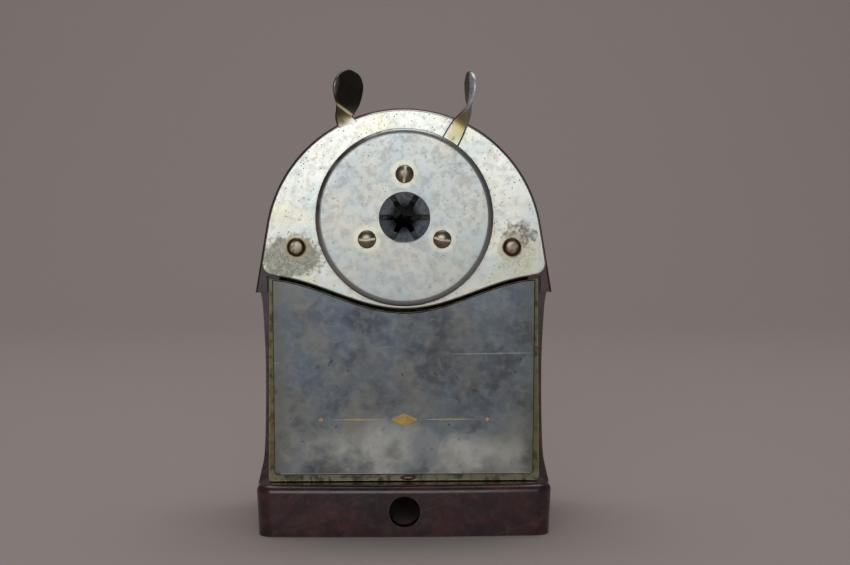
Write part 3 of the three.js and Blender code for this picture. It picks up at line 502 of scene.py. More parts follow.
class Finish:
    """One material being built: masks are laid over a base colour in order."""

    def __init__(self, name, colour, roughness, metallic=0.0, **uniform):
        self.material = bpy.data.materials.new(name)
        self.material.use_nodes = True
        self.tree = self.material.node_tree
        self.tree.nodes.clear()
        self.shader = add(self.tree, "ShaderNodeBsdfPrincipled")
        output = add(self.tree, "ShaderNodeOutputMaterial")
        feed(self.tree, self.shader.outputs[0], output.inputs["Surface"])
        self.coords = add(self.tree, "ShaderNodeTexCoord").outputs["Object"]
        self.shader.inputs["Base Color"].default_value = (*colour, 1)
        self.shader.inputs["Roughness"].default_value = roughness
        self.shader.inputs["Metallic"].default_value = metallic
        for key, value in uniform.items():
            self.shader.inputs[key].default_value = value
        self.heights = []

    def mask(self, group, output="Mask", offset=None, **values):
        node = add(self.tree, "ShaderNodeGroup", node_tree=GROUPS[group])
        source = self.coords
        if offset is not None:
            shift = add(self.tree, "ShaderNodeVectorMath", operation="ADD")
            feed(self.tree, source, shift.inputs[0])
            shift.inputs[1].default_value = offset
            source = shift.outputs["Vector"]
        feed(self.tree, source, node.inputs["Vector"])
        for key, value in values.items():
            node.inputs[key].default_value = value
        return node.outputs[output]

    def times(self, mask, factor):
        return math_node(self.tree, "MULTIPLY", mask, factor, clamp=True)

    def both(self, mask, other):
        return math_node(self.tree, "MULTIPLY", mask, other, clamp=True)

    def along(self, axis, low, high):
        """0 at low to 1 at high along one axis, in metres."""
        parts = add(self.tree, "ShaderNodeSeparateXYZ")
        feed(self.tree, self.coords, parts.inputs[0])
        ramp = add(self.tree, "ShaderNodeMapRange", interpolation_type="SMOOTHSTEP")
        feed(self.tree, parts.outputs[axis], ramp.inputs["Value"])
        ramp.inputs["From Min"].default_value = low
        ramp.inputs["From Max"].default_value = high
        return ramp.outputs["Result"]

    def _blend(self, socket_name, mask, value, kind):
        socket = self.shader.inputs[socket_name]
        mix = add(self.tree, "ShaderNodeMix", data_type=kind)
        first, second, result = (
            (mix.inputs[6], mix.inputs[7], mix.outputs[2]) if kind == "RGBA"
            else (mix.inputs[2], mix.inputs[3], mix.outputs[0])
        )
        if socket.is_linked:
            feed(self.tree, socket.links[0].from_socket, first)
        else:
            first.default_value = socket.default_value
        second.default_value = value
        feed(self.tree, mask, mix.inputs[0])
        feed(self.tree, result, socket)

    def colour(self, mask, colour):
        self._blend("Base Color", mask, (*colour, 1), "RGBA")

    def roughness(self, mask, value):
        self._blend("Roughness", mask, value, "FLOAT")

    def metallic(self, mask, value):
        self._blend("Metallic", mask, value, "FLOAT")

    def relief(self, mask, height):
        """Adds a bump of that height in metres where the mask is 1."""
        self.heights.append((mask, height))

    def done(self):
        total = None
        for mask, height in self.heights:
            part = math_node(self.tree, "MULTIPLY", mask, height)
            total = part if total is None else math_node(self.tree, "ADD", total, part)
        if total is not None:
            bump = add(self.tree, "ShaderNodeBump")
            bump.inputs["Strength"].default_value = 1.0
            bump.inputs["Distance"].default_value = 1.0
            feed(self.tree, total, bump.inputs["Height"])
            feed(self.tree, bump.outputs["Normal"], self.shader.inputs["Normal"])
        return self.material


def at(x, z, y=0.0):
    """A point of the drawing in the frame, in metres."""
    return TO_FRAME @ Vector((x, y, z))


# ---------------------------------------------------------------- finishes

PLATE_TONE = (0.605, 0.615, 0.592)


def bakelite_finish():
    f = Finish("bakelite", (0.033, 0.0125, 0.0175), 0.22, **{"Specular IOR Level": 0.6})
    marble = f.mask("clouds", Scale=75, Threshold=0.54, Softness=0.16, Detail=8, Distortion=2.2)
    fleck = f.mask("clouds", offset=(0.3, 0.1, 0.2), Scale=420, Threshold=0.6, Softness=0.09, Detail=4)
    dark = f.mask(
        "clouds", offset=(0.1, 0.5, 0.3), Scale=130, Threshold=0.56, Softness=0.14, Distortion=1.4,
    )
    f.colour(marble, (0.080, 0.023, 0.030))
    f.colour(f.times(fleck, 0.6), (0.115, 0.050, 0.055))
    f.colour(f.times(dark, 0.7), (0.014, 0.008, 0.010))
    wear = f.mask("wear", Radius=0.0008, Amount=3.0, Scale=900)
    f.colour(f.times(wear, 0.55), (0.13, 0.075, 0.065))
    dust = f.mask("clouds", offset=(0.7, 0.2, 0.1), Scale=260, Threshold=0.55, Softness=0.2, Detail=8)
    f.roughness(f.times(dust, 0.7), 0.38)
    f.roughness(wear, 0.5)
    lines = f.mask("scratches", Scale=45, Stretch=30, Threshold=0.68, Turn=0.3)
    f.roughness(f.times(lines, 0.6), 0.5)
    f.relief(f.mask("clouds", "Value", Scale=900, Detail=2), 0.000010)
    f.relief(lines, -0.000006)
    f.relief(f.mask("clouds", "Value", Scale=35, Detail=1), 0.00008)
    return f.done()


def plate_finish():
    """Bright nickel plate: nearly white, with yellow and blue haze, specks and rubbed patches."""
    tone, rough = PLATE_TONE, 0.31
    f = Finish("front_plate_nickel", tone, rough, metallic=1.0)
    blue = f.mask("clouds", Scale=120, Threshold=0.54, Softness=0.12, Detail=6)
    warm = f.mask("clouds", offset=(0.4, 0.2, 0.9), Scale=150, Threshold=0.56, Softness=0.12, Detail=7)
    mottle = f.mask("clouds", offset=(0.9, 0.2, 0.4), Scale=700, Threshold=0.56, Softness=0.12, Detail=5)
    f.colour(f.times(blue, 0.6), tuple(c * k for c, k in zip(tone, (0.78, 0.92, 1.0))))
    f.colour(f.times(warm, 0.55), tuple(c * k for c, k in zip(tone, (1.0, 0.92, 0.66))))
    f.colour(f.times(mottle, 0.35), tuple(c * 0.78 for c in tone))
    f.roughness(f.times(mottle, 0.5), rough + 0.14)
    f.roughness(f.times(blue, 0.4), rough + 0.08)
    specks = f.mask("specks", Scale=1600, Size=0.27, Gather=0.36)
    f.colour(f.times(specks, 0.65), (0.15, 0.11, 0.07))
    f.roughness(specks, 0.7)
    f.metallic(f.times(specks, 0.5), 0.3)
    lines = f.mask("scratches", Scale=50, Stretch=45, Threshold=0.67, Turn=0.9)
    f.colour(f.times(lines, 0.25), (0.9, 0.9, 0.88))
    grain = f.mask("clouds", offset=(0.2, 0, 0.3), Scale=1500, Threshold=0.50, Softness=0.12, Detail=9)
    rubbed = f.mask(
        "patch", Centre=at(-28.0, 70.4), Size=(0.0074, 1.0, 0.0046), Ragged=0.55, Scale=260, Softness=0.10,
    )
    brown = f.mask(
        "patch", Centre=at(-28.0, 70.4), Size=(0.0084, 1.0, 0.0055), Ragged=0.75, Scale=300, Softness=0.08,
    )
    f.colour(f.times(f.both(brown, grain), 0.75), (0.20, 0.15, 0.09))
    f.colour(f.times(rubbed, 0.8), (0.33, 0.335, 0.285))
    f.colour(f.times(f.both(rubbed, grain), 0.55), (0.155, 0.165, 0.135))
    f.roughness(f.times(rubbed, 0.7), 0.46)
    stain = f.mask(
        "patch", Centre=at(28.3, 70.6), Size=(0.0050, 1.0, 0.0050), Ragged=0.5, Scale=300, Softness=0.3,
    )
    f.colour(f.times(f.both(stain, grain), 0.5), (0.36, 0.33, 0.16))
    dark = f.mask(
        "patch", Centre=at(28.9, 76.0), Size=(0.0042, 1.0, 0.0030), Ragged=0.8, Scale=420, Softness=0.12,
    )
    f.colour(f.times(dark, 0.45), (0.30, 0.29, 0.24))
    f.colour(f.times(f.both(dark, grain), 0.8), (0.10, 0.09, 0.06))
    f.metallic(f.times(f.both(dark, grain), 0.4), 0.5)
    for side in (-1, 1):
        ring = f.mask(
            "patch", Centre=at(side * ROD_X, ROD_Z), Size=(0.0034, 1.0, 0.0034), Ragged=0.3, Scale=500,
        )
        f.colour(f.times(ring, 0.5), (0.40, 0.36, 0.22))
        seat = f.mask(
            "patch", Centre=at(side * ROD_X, ROD_Z), Size=(0.0024, 1.0, 0.0024), Ragged=0.2, Softness=0.1,
        )
        f.colour(f.times(seat, 0.7), (0.09, 0.055, 0.035))
        f.roughness(f.times(seat, 0.7), 0.7)
    wear = f.mask("wear", Radius=0.0005, Amount=4.0, Scale=700)
    f.colour(f.times(wear, 0.6), (0.60, 0.50, 0.28))
    f.relief(mottle, -0.000004)
    f.relief(specks, -0.00002)
    f.relief(f.mask("clouds", "Value", Scale=60, Detail=1), 0.00010)
    return f.done()


def tab_finish():
    """The left tab: plated like the plate at its root, brassy on the neck, nearly black on the pad, with a
    painted highlight along the fold.
    """
    f = Finish("tab_nickel", PLATE_TONE, 0.31, metallic=1.0)
    neck = f.mask(
        "patch", Centre=at(-16.8, 108.6), Size=(0.0060, 1.0, 0.0058), Ragged=0.25, Scale=300, Softness=0.28,
    )
    f.colour(f.times(neck, 0.95), (0.17, 0.15, 0.08))
    burn = f.mask(
        "patch", Centre=at(-17.2, 106.0), Size=(0.0030, 1.0, 0.0028), Ragged=0.6, Scale=420, Softness=0.4,
    )
    f.colour(f.times(burn, 0.85), (0.055, 0.040, 0.018))
    pad = f.along("Z", 0.1066, 0.1086)
    f.colour(f.times(pad, 0.95), (0.072, 0.066, 0.048))
    freckles = f.mask("clouds", offset=(0.2, 0.9, 0.5), Scale=600, Threshold=0.58, Softness=0.08, Detail=6)
    f.colour(f.times(f.both(freckles, pad), 0.4), (0.14, 0.11, 0.05))
    f.roughness(f.times(freckles, 0.6), 0.55)
    rim = f.both(f.along("Y", at(0, 0, -26.7).y, at(0, 0, -27.3).y), f.along("Z", 0.1070, 0.1080))
    f.colour(f.times(rim, 0.8), (0.40, 0.41, 0.40))
    # painted highlight: a bright yellowish line painted along the slanting fold of the tab
    fold_highlight = f.mask(
        "patch", Centre=at(-14.8, 106.9), Size=(0.0029, 1.0, 0.00034), Ragged=0.3, Scale=700, Softness=0.45,
        Turn=-0.627,
    )
    f.colour(f.times(fold_highlight, 0.85), (0.85, 0.76, 0.48))
    f.roughness(f.times(fold_highlight, 0.6), 0.45)
    wear = f.mask("wear", Radius=0.0006, Amount=5.0, Scale=500)
    f.colour(f.times(f.both(wear, pad), 0.6), (0.55, 0.53, 0.46))
    return f.done()


def lever_finish():
    """The right lever: nickel with a gold-brown stain on its strip, a dull brown pad whose darkness is partly
    painted shade, and a painted highlight on the pad's near edge.
    """
    tone = (0.50, 0.505, 0.455)
    f = Finish("lever_nickel", tone, 0.30, metallic=1.0)
    pale = f.mask("clouds", Scale=260, Threshold=0.5, Softness=0.12, Detail=6)
    f.colour(f.times(pale, 0.5), (0.40, 0.40, 0.34))
    halo = f.mask(
        "patch", Centre=at(13.3, 102.6), Size=(0.0030, 1.0, 0.0042), Ragged=0.8, Scale=420, Softness=0.5,
    )
    f.colour(f.times(halo, 0.75), (0.30, 0.275, 0.14))
    stain = f.mask(
        "patch", Centre=at(13.6, 103.2), Size=(0.0010, 1.0, 0.0013), Ragged=1.0, Scale=900, Softness=0.7,
    )
    f.colour(f.times(stain, 0.6), (0.46, 0.34, 0.07))
    # partly the lever's own brown tarnish, partly painted shade on the turned-over part and pad that face away
    pad_tint_and_shade = f.along("Z", 0.1050, 0.1090)
    f.colour(f.times(pad_tint_and_shade, 0.85), (0.115, 0.095, 0.065))
    f.roughness(f.times(pad_tint_and_shade, 0.5), 0.36)
    # painted highlight: the pad's near edge made pale and less metallic so that it reads bright
    pad_edge_highlight = f.both(f.along("Y", at(0, 0, -25.9).y, at(0, 0, -27.1).y), pad_tint_and_shade)
    f.colour(f.times(pad_edge_highlight, 0.95), (0.72, 0.76, 0.82))
    f.metallic(pad_edge_highlight, 0.35)
    freckles = f.mask("clouds", offset=(0.2, 0.9, 0.5), Scale=700, Threshold=0.60, Softness=0.06, Detail=5)
    f.colour(f.times(freckles, 0.6), (0.16, 0.11, 0.05))
    f.roughness(freckles, 0.6)
    wear = f.mask("wear", Radius=0.0006, Amount=5.0, Scale=500)
    f.colour(f.times(wear, 0.8), (0.70, 0.68, 0.58))
    f.relief(pale, 0.000004)
    return f.done()


def rivet_finish():
    """Guide rods: bright steel shanks, their riveted heads rusty with a rubbed lighter middle."""
    f = Finish("rivet_steel", (0.135, 0.085, 0.050), 0.46, metallic=1.0)
    for side in (-1, 1):
        middle = f.mask(
            "patch", Centre=at(side * ROD_X, ROD_Z), Size=(0.00145, 1.0, 0.00145), Ragged=0.3, Scale=900,
            Softness=0.2,
        )
        f.colour(f.times(middle, 0.85), (0.40, 0.37, 0.30))
        f.roughness(f.times(middle, 0.7), 0.34)
    rust = f.mask("clouds", Scale=900, Threshold=0.55, Softness=0.1, Detail=6)
    f.colour(f.times(rust, 0.6), (0.09, 0.045, 0.022))
    f.relief(rust, 0.000010)
    shank = f.along("Y", at(0, 0, -24.2).y, at(0, 0, -23.2).y)
    f.colour(f.times(shank, 0.92), (0.42, 0.41, 0.39))
    f.roughness(shank, 0.30)
    return f.done()


def cover_finish():
    """Greyed nickel of the chuck cover, with pale rings round its screws."""
    tone = (0.495, 0.525, 0.525)
    f = Finish("chuck_cover_nickel", tone, 0.36, metallic=1.0)
    blue = f.mask("clouds", Scale=95, Threshold=0.53, Softness=0.13, Detail=7)
    warm = f.mask("clouds", offset=(0.6, 0.8, 0.1), Scale=110, Threshold=0.55, Softness=0.14, Detail=7)
    mottle = f.mask("clouds", offset=(0.2, 0.6, 0.7), Scale=650, Threshold=0.54, Softness=0.14, Detail=6)
    f.colour(f.times(blue, 0.7), (0.385, 0.46, 0.505))
    f.colour(f.times(warm, 0.5), (0.57, 0.525, 0.43))
    # painted shade: the cover made darker and bluer towards the bottom
    f.colour(f.times(f.along("Z", 0.072, 0.056), 0.55), (0.43, 0.485, 0.515))
    f.colour(f.times(mottle, 0.35), (0.38, 0.38, 0.37))
    f.roughness(f.times(mottle, 0.5), 0.5)
    for angle in SCREW_ANGLES:
        x, z = on_circle(SCREW_CIRCLE, angle)
        halo = f.mask("patch", Centre=at(x, z), Size=(0.0034, 1.0, 0.0034), Ragged=0.12, Softness=0.12)
        f.colour(f.times(halo, 0.6), (0.66, 0.63, 0.50))
        inner = f.mask("patch", Centre=at(x, z), Size=(0.0030, 1.0, 0.0030), Ragged=0.10, Softness=0.08)
        f.colour(f.times(inner, 0.4), (0.62, 0.62, 0.57))
    rim = f.mask(
        "patch", Centre=at(0, AXIS_Z), Size=(0.0210, 1.0, 0.0210), Ragged=0.03, Softness=0.02,
    )
    outside = math_node(f.tree, "SUBTRACT", 1.0, rim)
    f.colour(f.times(outside, 0.35), (0.33, 0.33, 0.29))
    rust = f.mask("clouds", offset=(0.5, 0.1, 0.1), Scale=160, Threshold=0.5, Softness=0.1, Detail=8)
    corner = f.both(f.along("X", 0.006, -0.006), f.along("Z", 0.074, 0.084))
    f.colour(f.times(f.both(f.both(outside, rust), corner), 0.8), (0.15, 0.085, 0.04))
    specks = f.mask("specks", Scale=1700, Size=0.26, Gather=0.30)
    f.colour(f.times(specks, 0.55), (0.16, 0.12, 0.08))
    f.roughness(specks, 0.6)
    lines = f.mask("scratches", Scale=45, Stretch=40, Threshold=0.66, Turn=0.5)
    f.colour(f.times(lines, 0.3), (0.68, 0.68, 0.66))
    f.relief(specks, -0.00002)
    f.relief(mottle, -0.000004)
    f.relief(f.mask("clouds", "Value", Scale=45, Detail=1), 0.00012)
    return f.done()


def drawer_panel_finish():
    """Dark tarnish, bluer and darker above, greyer and lighter below, with scratches and stains."""
    f = Finish("drawer_panel_tarnish", (0.150, 0.165, 0.184), 0.40, metallic=1.0)
    rise = f.along("Z", 0.037, 0.018)
    f.colour(f.times(rise, 0.9), (0.31, 0.31, 0.275))
    middle = f.mask(
        "patch", Centre=at(2.0, 19.6), Size=(0.024, 1.0, 0.0065), Ragged=0.8, Scale=90, Softness=0.6,
    )
    f.colour(f.times(middle, 0.75), (0.58, 0.585, 0.56))
    blue = f.mask("clouds", Scale=70, Threshold=0.52, Softness=0.10, Detail=9, Distortion=0.25)
    dark = f.mask(
        "clouds", offset=(0.1, 0.7, 0.4), Scale=95, Threshold=0.53, Softness=0.12, Detail=9, Distortion=0.2,
    )
    warm = f.mask(
        "clouds", offset=(0.3, 0.3, 0.5), Scale=85, Threshold=0.57, Softness=0.10, Detail=9, Distortion=0.2,
    )
    fine = f.mask("clouds", offset=(0.8, 0.1, 0.6), Scale=420, Threshold=0.54, Softness=0.12, Detail=8)
    f.colour(f.times(blue, 0.6), (0.105, 0.148, 0.210))
    f.colour(f.times(dark, 0.72), (0.052, 0.056, 0.072))
    f.colour(f.times(warm, 0.4), (0.235, 0.215, 0.165))
    f.colour(f.times(fine, 0.25), (0.34, 0.355, 0.36))
    f.roughness(f.times(fine, 0.5), 0.52)
    f.roughness(f.times(blue, 0.4), 0.34)
    for side in (-1, 1):
        margin = f.along("X", side * 0.0285, side * 0.0325)
        f.colour(f.times(margin, 0.4), (0.125, 0.120, 0.085))
    scored = f.mask(
        "patch", Centre=at(22.0, 45.7), Size=(0.0095, 1.0, 0.00016), Ragged=0.5, Scale=400, Softness=0.5,
        Turn=0.01,
    )
    f.colour(f.times(scored, 0.35), (0.52, 0.52, 0.48))
    foot = f.along("Z", 0.01545, 0.01505)
    f.colour(f.times(foot, 0.7), (0.62, 0.60, 0.50))
    across = f.mask("scratches", offset=(0.1, 0.1, 0.2), Scale=42, Stretch=45, Threshold=0.715, Turn=0.06)
    slant = f.mask("scratches", offset=(0.4, 0.3, 0.2), Scale=70, Stretch=26, Threshold=0.735, Turn=0.5)
    hairs = f.mask("scratches", offset=(0.9, 0.1, 0.7), Scale=160, Stretch=14, Threshold=0.66, Turn=-0.35)
    for lines, share in ((across, 0.45), (slant, 0.35), (hairs, 0.12)):
        f.colour(f.times(lines, share), (0.46, 0.46, 0.42))
    f.relief(across, -0.000008)
    spots = f.mask("clouds", offset=(0.5, 0.9, 0.2), Scale=330, Threshold=0.70, Softness=0.04, Detail=3)
    f.colour(f.times(spots, 0.7), (0.035, 0.035, 0.038))
    wear = f.mask("wear", Radius=0.0005, Amount=5.0, Scale=600)
    f.colour(f.times(wear, 0.55), (0.50, 0.48, 0.36))
    f.relief(fine, 0.000004)
    f.relief(f.mask("clouds", "Value", Scale=40, Detail=1), 0.00012)
    return f.done()


def drawer_edge_finish():
    """The drawer's bare border: nickel worn through to an olive-yellow undercoat."""
    f = Finish("drawer_edge_brassy", (0.135, 0.127, 0.068), 0.44, metallic=1.0)
    foot = f.along("Z", 0.0165, 0.0148)
    f.colour(f.times(foot, 0.8), (0.24, 0.235, 0.19))
    worn = f.mask("clouds", Scale=420, Threshold=0.52, Softness=0.16, Detail=9)
    dirt = f.mask("clouds", offset=(0.2, 0.4, 0.1), Scale=520, Threshold=0.56, Softness=0.1, Detail=8)
    f.colour(f.times(worn, 0.6), (0.20, 0.185, 0.085))
    f.colour(f.times(dirt, 0.7), (0.085, 0.075, 0.05))
    f.roughness(dirt, 0.65)
    wear = f.mask("wear", Radius=0.0004, Amount=5.0, Scale=600)
    f.colour(f.times(wear, 0.7), (0.55, 0.50, 0.34))
    f.relief(worn, 0.000008)
    return f.done()


def steel_finish(name, tone, rough, stain, stain_share=0.5, speck=0.4):
    """Plain steel pieces: a tone, a stain in blotches, specks and bright rubbed edges."""
    f = Finish(name, tone, rough, metallic=1.0)
    blotch = f.mask("clouds", Scale=260, Threshold=0.52, Softness=0.15, Detail=7)
    fine = f.mask("clouds", offset=(0.3, 0.7, 0.2), Scale=1400, Threshold=0.53, Softness=0.15, Detail=4)
    f.colour(f.times(blotch, stain_share), stain)
    f.colour(f.times(fine, 0.3), tuple(c * 0.7 for c in tone))
    f.roughness(f.times(blotch, 0.5), rough + 0.18)
    specks = f.mask("specks", Scale=1500, Size=0.32, Gather=speck)
    f.colour(f.times(specks, 0.6), (0.08, 0.055, 0.035))
    f.roughness(specks, 0.7)
    wear = f.mask("wear", Radius=0.0003, Amount=4.0, Scale=900)
    f.colour(f.times(wear, 0.6), tuple(min(1.0, c * 1.6 + 0.08) for c in tone))
    f.relief(fine, 0.000004)
    return f.done()


def blued_finish():
    """Blued steel jaws, rubbed lighter outside, and black towards the middle from painted shade."""
    f = Finish("blued_steel", (0.37, 0.44, 0.52), 0.42, metallic=1.0)
    cloud = f.mask("clouds", Scale=330, Threshold=0.5, Softness=0.14, Detail=7)
    fine = f.mask("clouds", offset=(0.3, 0.7, 0.2), Scale=1500, Threshold=0.53, Softness=0.12, Detail=5)
    f.colour(f.times(cloud, 0.6), (0.12, 0.15, 0.19))
    f.colour(f.times(fine, 0.4), (0.66, 0.72, 0.78))
    f.roughness(f.times(cloud, 0.5), 0.5)
    # painted shade: the jaws darkened to black round the pencil mouth
    core_shade = f.mask(
        "patch", Centre=at(0, AXIS_Z), Size=(0.0037, 1.0, 0.0037), Ragged=0.25, Scale=500, Softness=0.28,
    )
    f.colour(f.times(core_shade, 0.9), (0.03, 0.033, 0.038))
    wear = f.mask("wear", Radius=0.0003, Amount=5.0, Scale=900)
    f.colour(f.times(wear, 0.5), (0.48, 0.52, 0.55))
    f.relief(fine, 0.000005)
    return f.done()


def wood_finish():
    """Dark lacquered turned wood, its grain along the knob."""
    coat = {"Coat Weight": 0.4, "Coat Roughness": 0.12}
    f = Finish("knob_lacquered_wood", (0.050, 0.020, 0.012), 0.28, **coat)
    grain = add(f.tree, "ShaderNodeMapping")
    grain.inputs["Scale"].default_value = (1.0, 0.12, 1.0)
    feed(f.tree, f.coords, grain.inputs["Vector"])
    lines = add(f.tree, "ShaderNodeGroup", node_tree=GROUPS["clouds"])
    feed(f.tree, grain.outputs["Vector"], lines.inputs["Vector"])
    lines.inputs["Scale"].default_value = 900
    lines.inputs["Threshold"].default_value = 0.5
    lines.inputs["Softness"].default_value = 0.2
    f.colour(f.times(lines.outputs["Mask"], 0.8), (0.022, 0.009, 0.006))
    broad = f.mask("clouds", Scale=180, Threshold=0.55, Softness=0.15)
    f.colour(f.times(broad, 0.5), (0.085, 0.034, 0.018))
    wear = f.mask("wear", Radius=0.0006, Amount=4.0, Scale=700)
    f.colour(f.times(wear, 0.7), (0.20, 0.11, 0.055))
    f.roughness(wear, 0.5)
    f.relief(lines.outputs["Mask"], -0.00001)
    return f.done()


BAKELITE = bakelite_finish()
BRIGHT_NICKEL = plate_finish()
TAB_NICKEL = tab_finish()
LEVER_NICKEL = lever_finish()
COVER_NICKEL = cover_finish()
DRAWER_TARNISH = drawer_panel_finish()
DRAWER_BRASSY = drawer_edge_finish()
SCREW_STEEL = steel_finish("screw_steel", (0.36, 0.32, 0.26), 0.30, (0.17, 0.125, 0.08), 0.6)
RIVET_STEEL = rivet_finish()
BLUED_STEEL = blued_finish()
TOOL_STEEL = steel_finish("tool_steel", (0.36, 0.36, 0.37), 0.30, (0.22, 0.20, 0.18), 0.4, 0.3)
CRANK_NICKEL = steel_finish("crank_nickel", (0.62, 0.62, 0.58), 0.26, (0.45, 0.42, 0.33), 0.4, 0.4)
BRASS = steel_finish("turned_brass", (0.56, 0.40, 0.16), 0.30, (0.30, 0.21, 0.09), 0.5, 0.3)
CASTING = steel_finish("grey_casting", (0.26, 0.27, 0.28), 0.52, (0.16, 0.16, 0.16), 0.5, 0.5)
SPRING_WIRE = steel_finish("spring_wire", (0.42, 0.42, 0.43), 0.26, (0.26, 0.25, 0.24), 0.4, 0.2)
SOLDER = steel_finish("solder", (0.30, 0.24, 0.13), 0.46, (0.16, 0.12, 0.07), 0.5, 0.5)
ENGRAVING = steel_finish("engraved_gold_line", (0.52, 0.36, 0.12), 0.38, (0.30, 0.20, 0.08), 0.6, 0.5)
KNOB_WOOD = wood_finish()

# ---------------------------------------------------------------- outlines


def leg_x(radius, z):
    tangent_x = radius * math.cos(LEG_FLARE)
    tangent_z = HEAD_CENTRE_Z + radius * math.sin(LEG_FLARE)
    return tangent_x + (tangent_z - z) * math.tan(LEG_FLARE)


def arch(radius, steps):
    flare = math.degrees(LEG_FLARE)
    return arc(0, HEAD_CENTRE_Z, radius, flare, 180 - flare, steps)


def lower_edge(x):
    return 57.3 + 8.45 * math.sin(math.pi * x / 71.0) ** 2


def plate_outline(inset):
    radius = PLATE_RADIUS - inset
    corner = 3.0 - 0.6 * inset
    corner_z = lower_edge(PLATE_RADIUS) + inset + corner
    corner_x = leg_x(radius, corner_z) - corner / math.cos(LEG_FLARE)
    right = arc(corner_x, corner_z, corner, -90, math.degrees(LEG_FLARE), 10)
    left = [(-x, z) for x, z in reversed(right)]
    steps = 56
    edge = []
    for i in range(1, steps):
        x = -corner_x + 2 * corner_x * i / steps
        edge.append((x, lower_edge(x) + inset))
    return [*right, *arch(radius, 84), *left, *edge]


def drawer_outline(inset, top_inset=0.0, bottom_inset=None):
    bottom, top = 34.3 - inset, 33.8 - 0.45 * inset
    low = DRAWER_BOTTOM + (inset if bottom_inset is None else bottom_inset)
    corner = 1.0
    points = [
        *arc(-bottom + corner, low + corner, corner, 180, 270, 5),
        *arc(bottom - corner, low + corner, corner, 270, 360, 5),
    ]
    steps = 48
    for i in range(steps + 1):
        x = top - 2 * top * i / steps
        points.append((x, lower_edge(x) - DRAWER_GAP - top_inset))
    return points


# ---------------------------------------------------------------- housing


def waist_outline():
    side = catmull([Vector(p) for p in (
        (37.0, 12.6), (36.2, 16.0), (35.4, 20.4), (35.0, 30.8), (34.95, 43.2), (35.3, 52.6), (35.7, 58.5),
        (36.4, 62.5),
    )], 6)
    right = [(p.x, p.y) for p in side]
    return [*right, *((-x, z) for x, z in reversed(right))]


def base_block():
    """The base: bowed in front, rounded corners, drawn in a little towards the desk."""
    half, front, back, corner = HOUSING_HIGH.x + 0.04, -25.2, BASE_BACK, 4.0
    bow = 1.0
    plan = []
    steps = 24
    for i in range(steps + 1):
        x = -half + corner + 2 * (half - corner) * i / steps
        plan.append((x, front - bow * (1 - (x / (half - corner)) ** 2)))
    plan += arc(half - corner, front + corner, corner, -85, 0, 8)
    plan += arc(half - corner, back - corner, corner, 0, 90, 8)
    plan += arc(-half + corner, back - corner, corner, 90, 180, 8)
    plan += arc(-half + corner, front + corner, corner, 180, 265, 8)
    bm = bmesh.new()
    levels = [(0.0, 0.984), (10.9, 0.999), (13.0, 1.0)]
    rings = [[bm.verts.new((x * narrow, y, z)) for x, y in plan] for z, narrow in levels]
    count = len(plan)
    for ring, following in zip(rings, rings[1:]):
        for k in range(count):
            bm.faces.new((ring[k], ring[(k + 1) % count], following[(k + 1) % count], following[k]))
    bm.faces.new(reversed(rings[0]))
    bm.faces.new(rings[-1])
    bmesh.ops.recalc_face_normals(bm, faces=bm.faces)
    top_edges = [e for e in bm.edges if all(v.co.z > 12.9 for v in e.verts)]
    bmesh.ops.bevel(
        bm, geom=top_edges, offset=1.9, segments=7, profile=0.5, affect="EDGES", clamp_overlap=True,
    )
    return bm


def make_housing():
    shoulder = leg_x(HEAD_RADIUS, SHOULDER_Z)
    outline = [(shoulder, SHOULDER_Z), *arch(HEAD_RADIUS, 90), (-shoulder, SHOULDER_Z)]
    head = prism(outline, HEAD_FRONT, HEAD_BACK)
    edges = [
        e for e in head.edges
        if abs(e.verts[0].co.y - e.verts[1].co.y) < 1e-6 and not (
            abs(e.verts[0].co.z - SHOULDER_Z) < 0.01 and abs(e.verts[1].co.z - SHOULDER_Z) < 0.01
        )
    ]
    front = [e for e in edges if e.verts[0].co.y < 0]
    back = [e for e in edges if e.verts[0].co.y > 0]
    bmesh.ops.bevel(head, geom=front, offset=0.6, segments=4, profile=0.5, affect="EDGES")
    back = [e for e in back if e.is_valid]
    bmesh.ops.bevel(head, geom=back, offset=2.2, segments=7, profile=0.5, affect="EDGES")
    waist = prism(waist_outline(), -19.3, 22.0)
    rear = [
        e for e in waist.edges
        if min(e.verts[0].co.y, e.verts[1].co.y) > 21.9 and abs(e.verts[0].co.x - e.verts[1].co.x) < 3
    ]
    bmesh.ops.bevel(waist, geom=rear, offset=2.0, segments=6, profile=0.5, affect="EDGES")
    inside = [(31.6, 13.0), *arc(0, HEAD_CENTRE_Z, 31.4, 0, 180, 60), (-31.6, 13.0)]
    cavity = prism(inside, HEAD_FRONT - 5, 20)
    opening = block((-34.4, HEAD_FRONT - 5, 13.0), (34.4, -19.3, lower_edge(PLATE_RADIUS) - 0.3))
    bosses = []
    for side in (-1, 1):
        bosses.append(bar(side * ROD_X, ROD_Z, 4.8, HEAD_FRONT, -13))
        low_x, high_x = sorted((side * ROD_X, side * 32.4))
        bosses.append(block((low_x, HEAD_FRONT + 0.02, ROD_Z - 4.7), (high_x, -13.02, ROD_Z + 4.7)))
    hollow = block((-33.5, -22.2, -1), (33.5, 22, 11.2))
    holes = [bar(side * ROD_X, ROD_Z, 3.1, -40, 0) for side in (-1, 1)]
    holes += [bar(*on_circle(FRAME_SCREW_CIRCLE, angle), 1.7, 15, 30, 24) for angle in SCREW_ANGLES]
    holes += [bar(0, AXIS_Z, 5.6, 15, 30, 48), bar(0, 6.4, 3.95, -40, -10, 64)]
    shell = shaped("housing_shell", head, joins=[waist, base_block()], cuts=[cavity, opening, hollow])
    shell.modifiers.clear()
    source = bmesh.new()
    source.from_mesh(shell.data)
    source.transform(TO_FRAME.inverted())
    spent = shell.data
    bpy.data.objects.remove(shell)
    bpy.data.meshes.remove(spent)
    piece = shaped(
        "bakelite_housing", source, joins=bosses, cuts=holes, round_by=0.35, round_steps=3, round_angle=50,
    )
    return fit(piece, "root", BAKELITE, "bakelite", "housing")


# ---------------------------------------------------------------- carriage


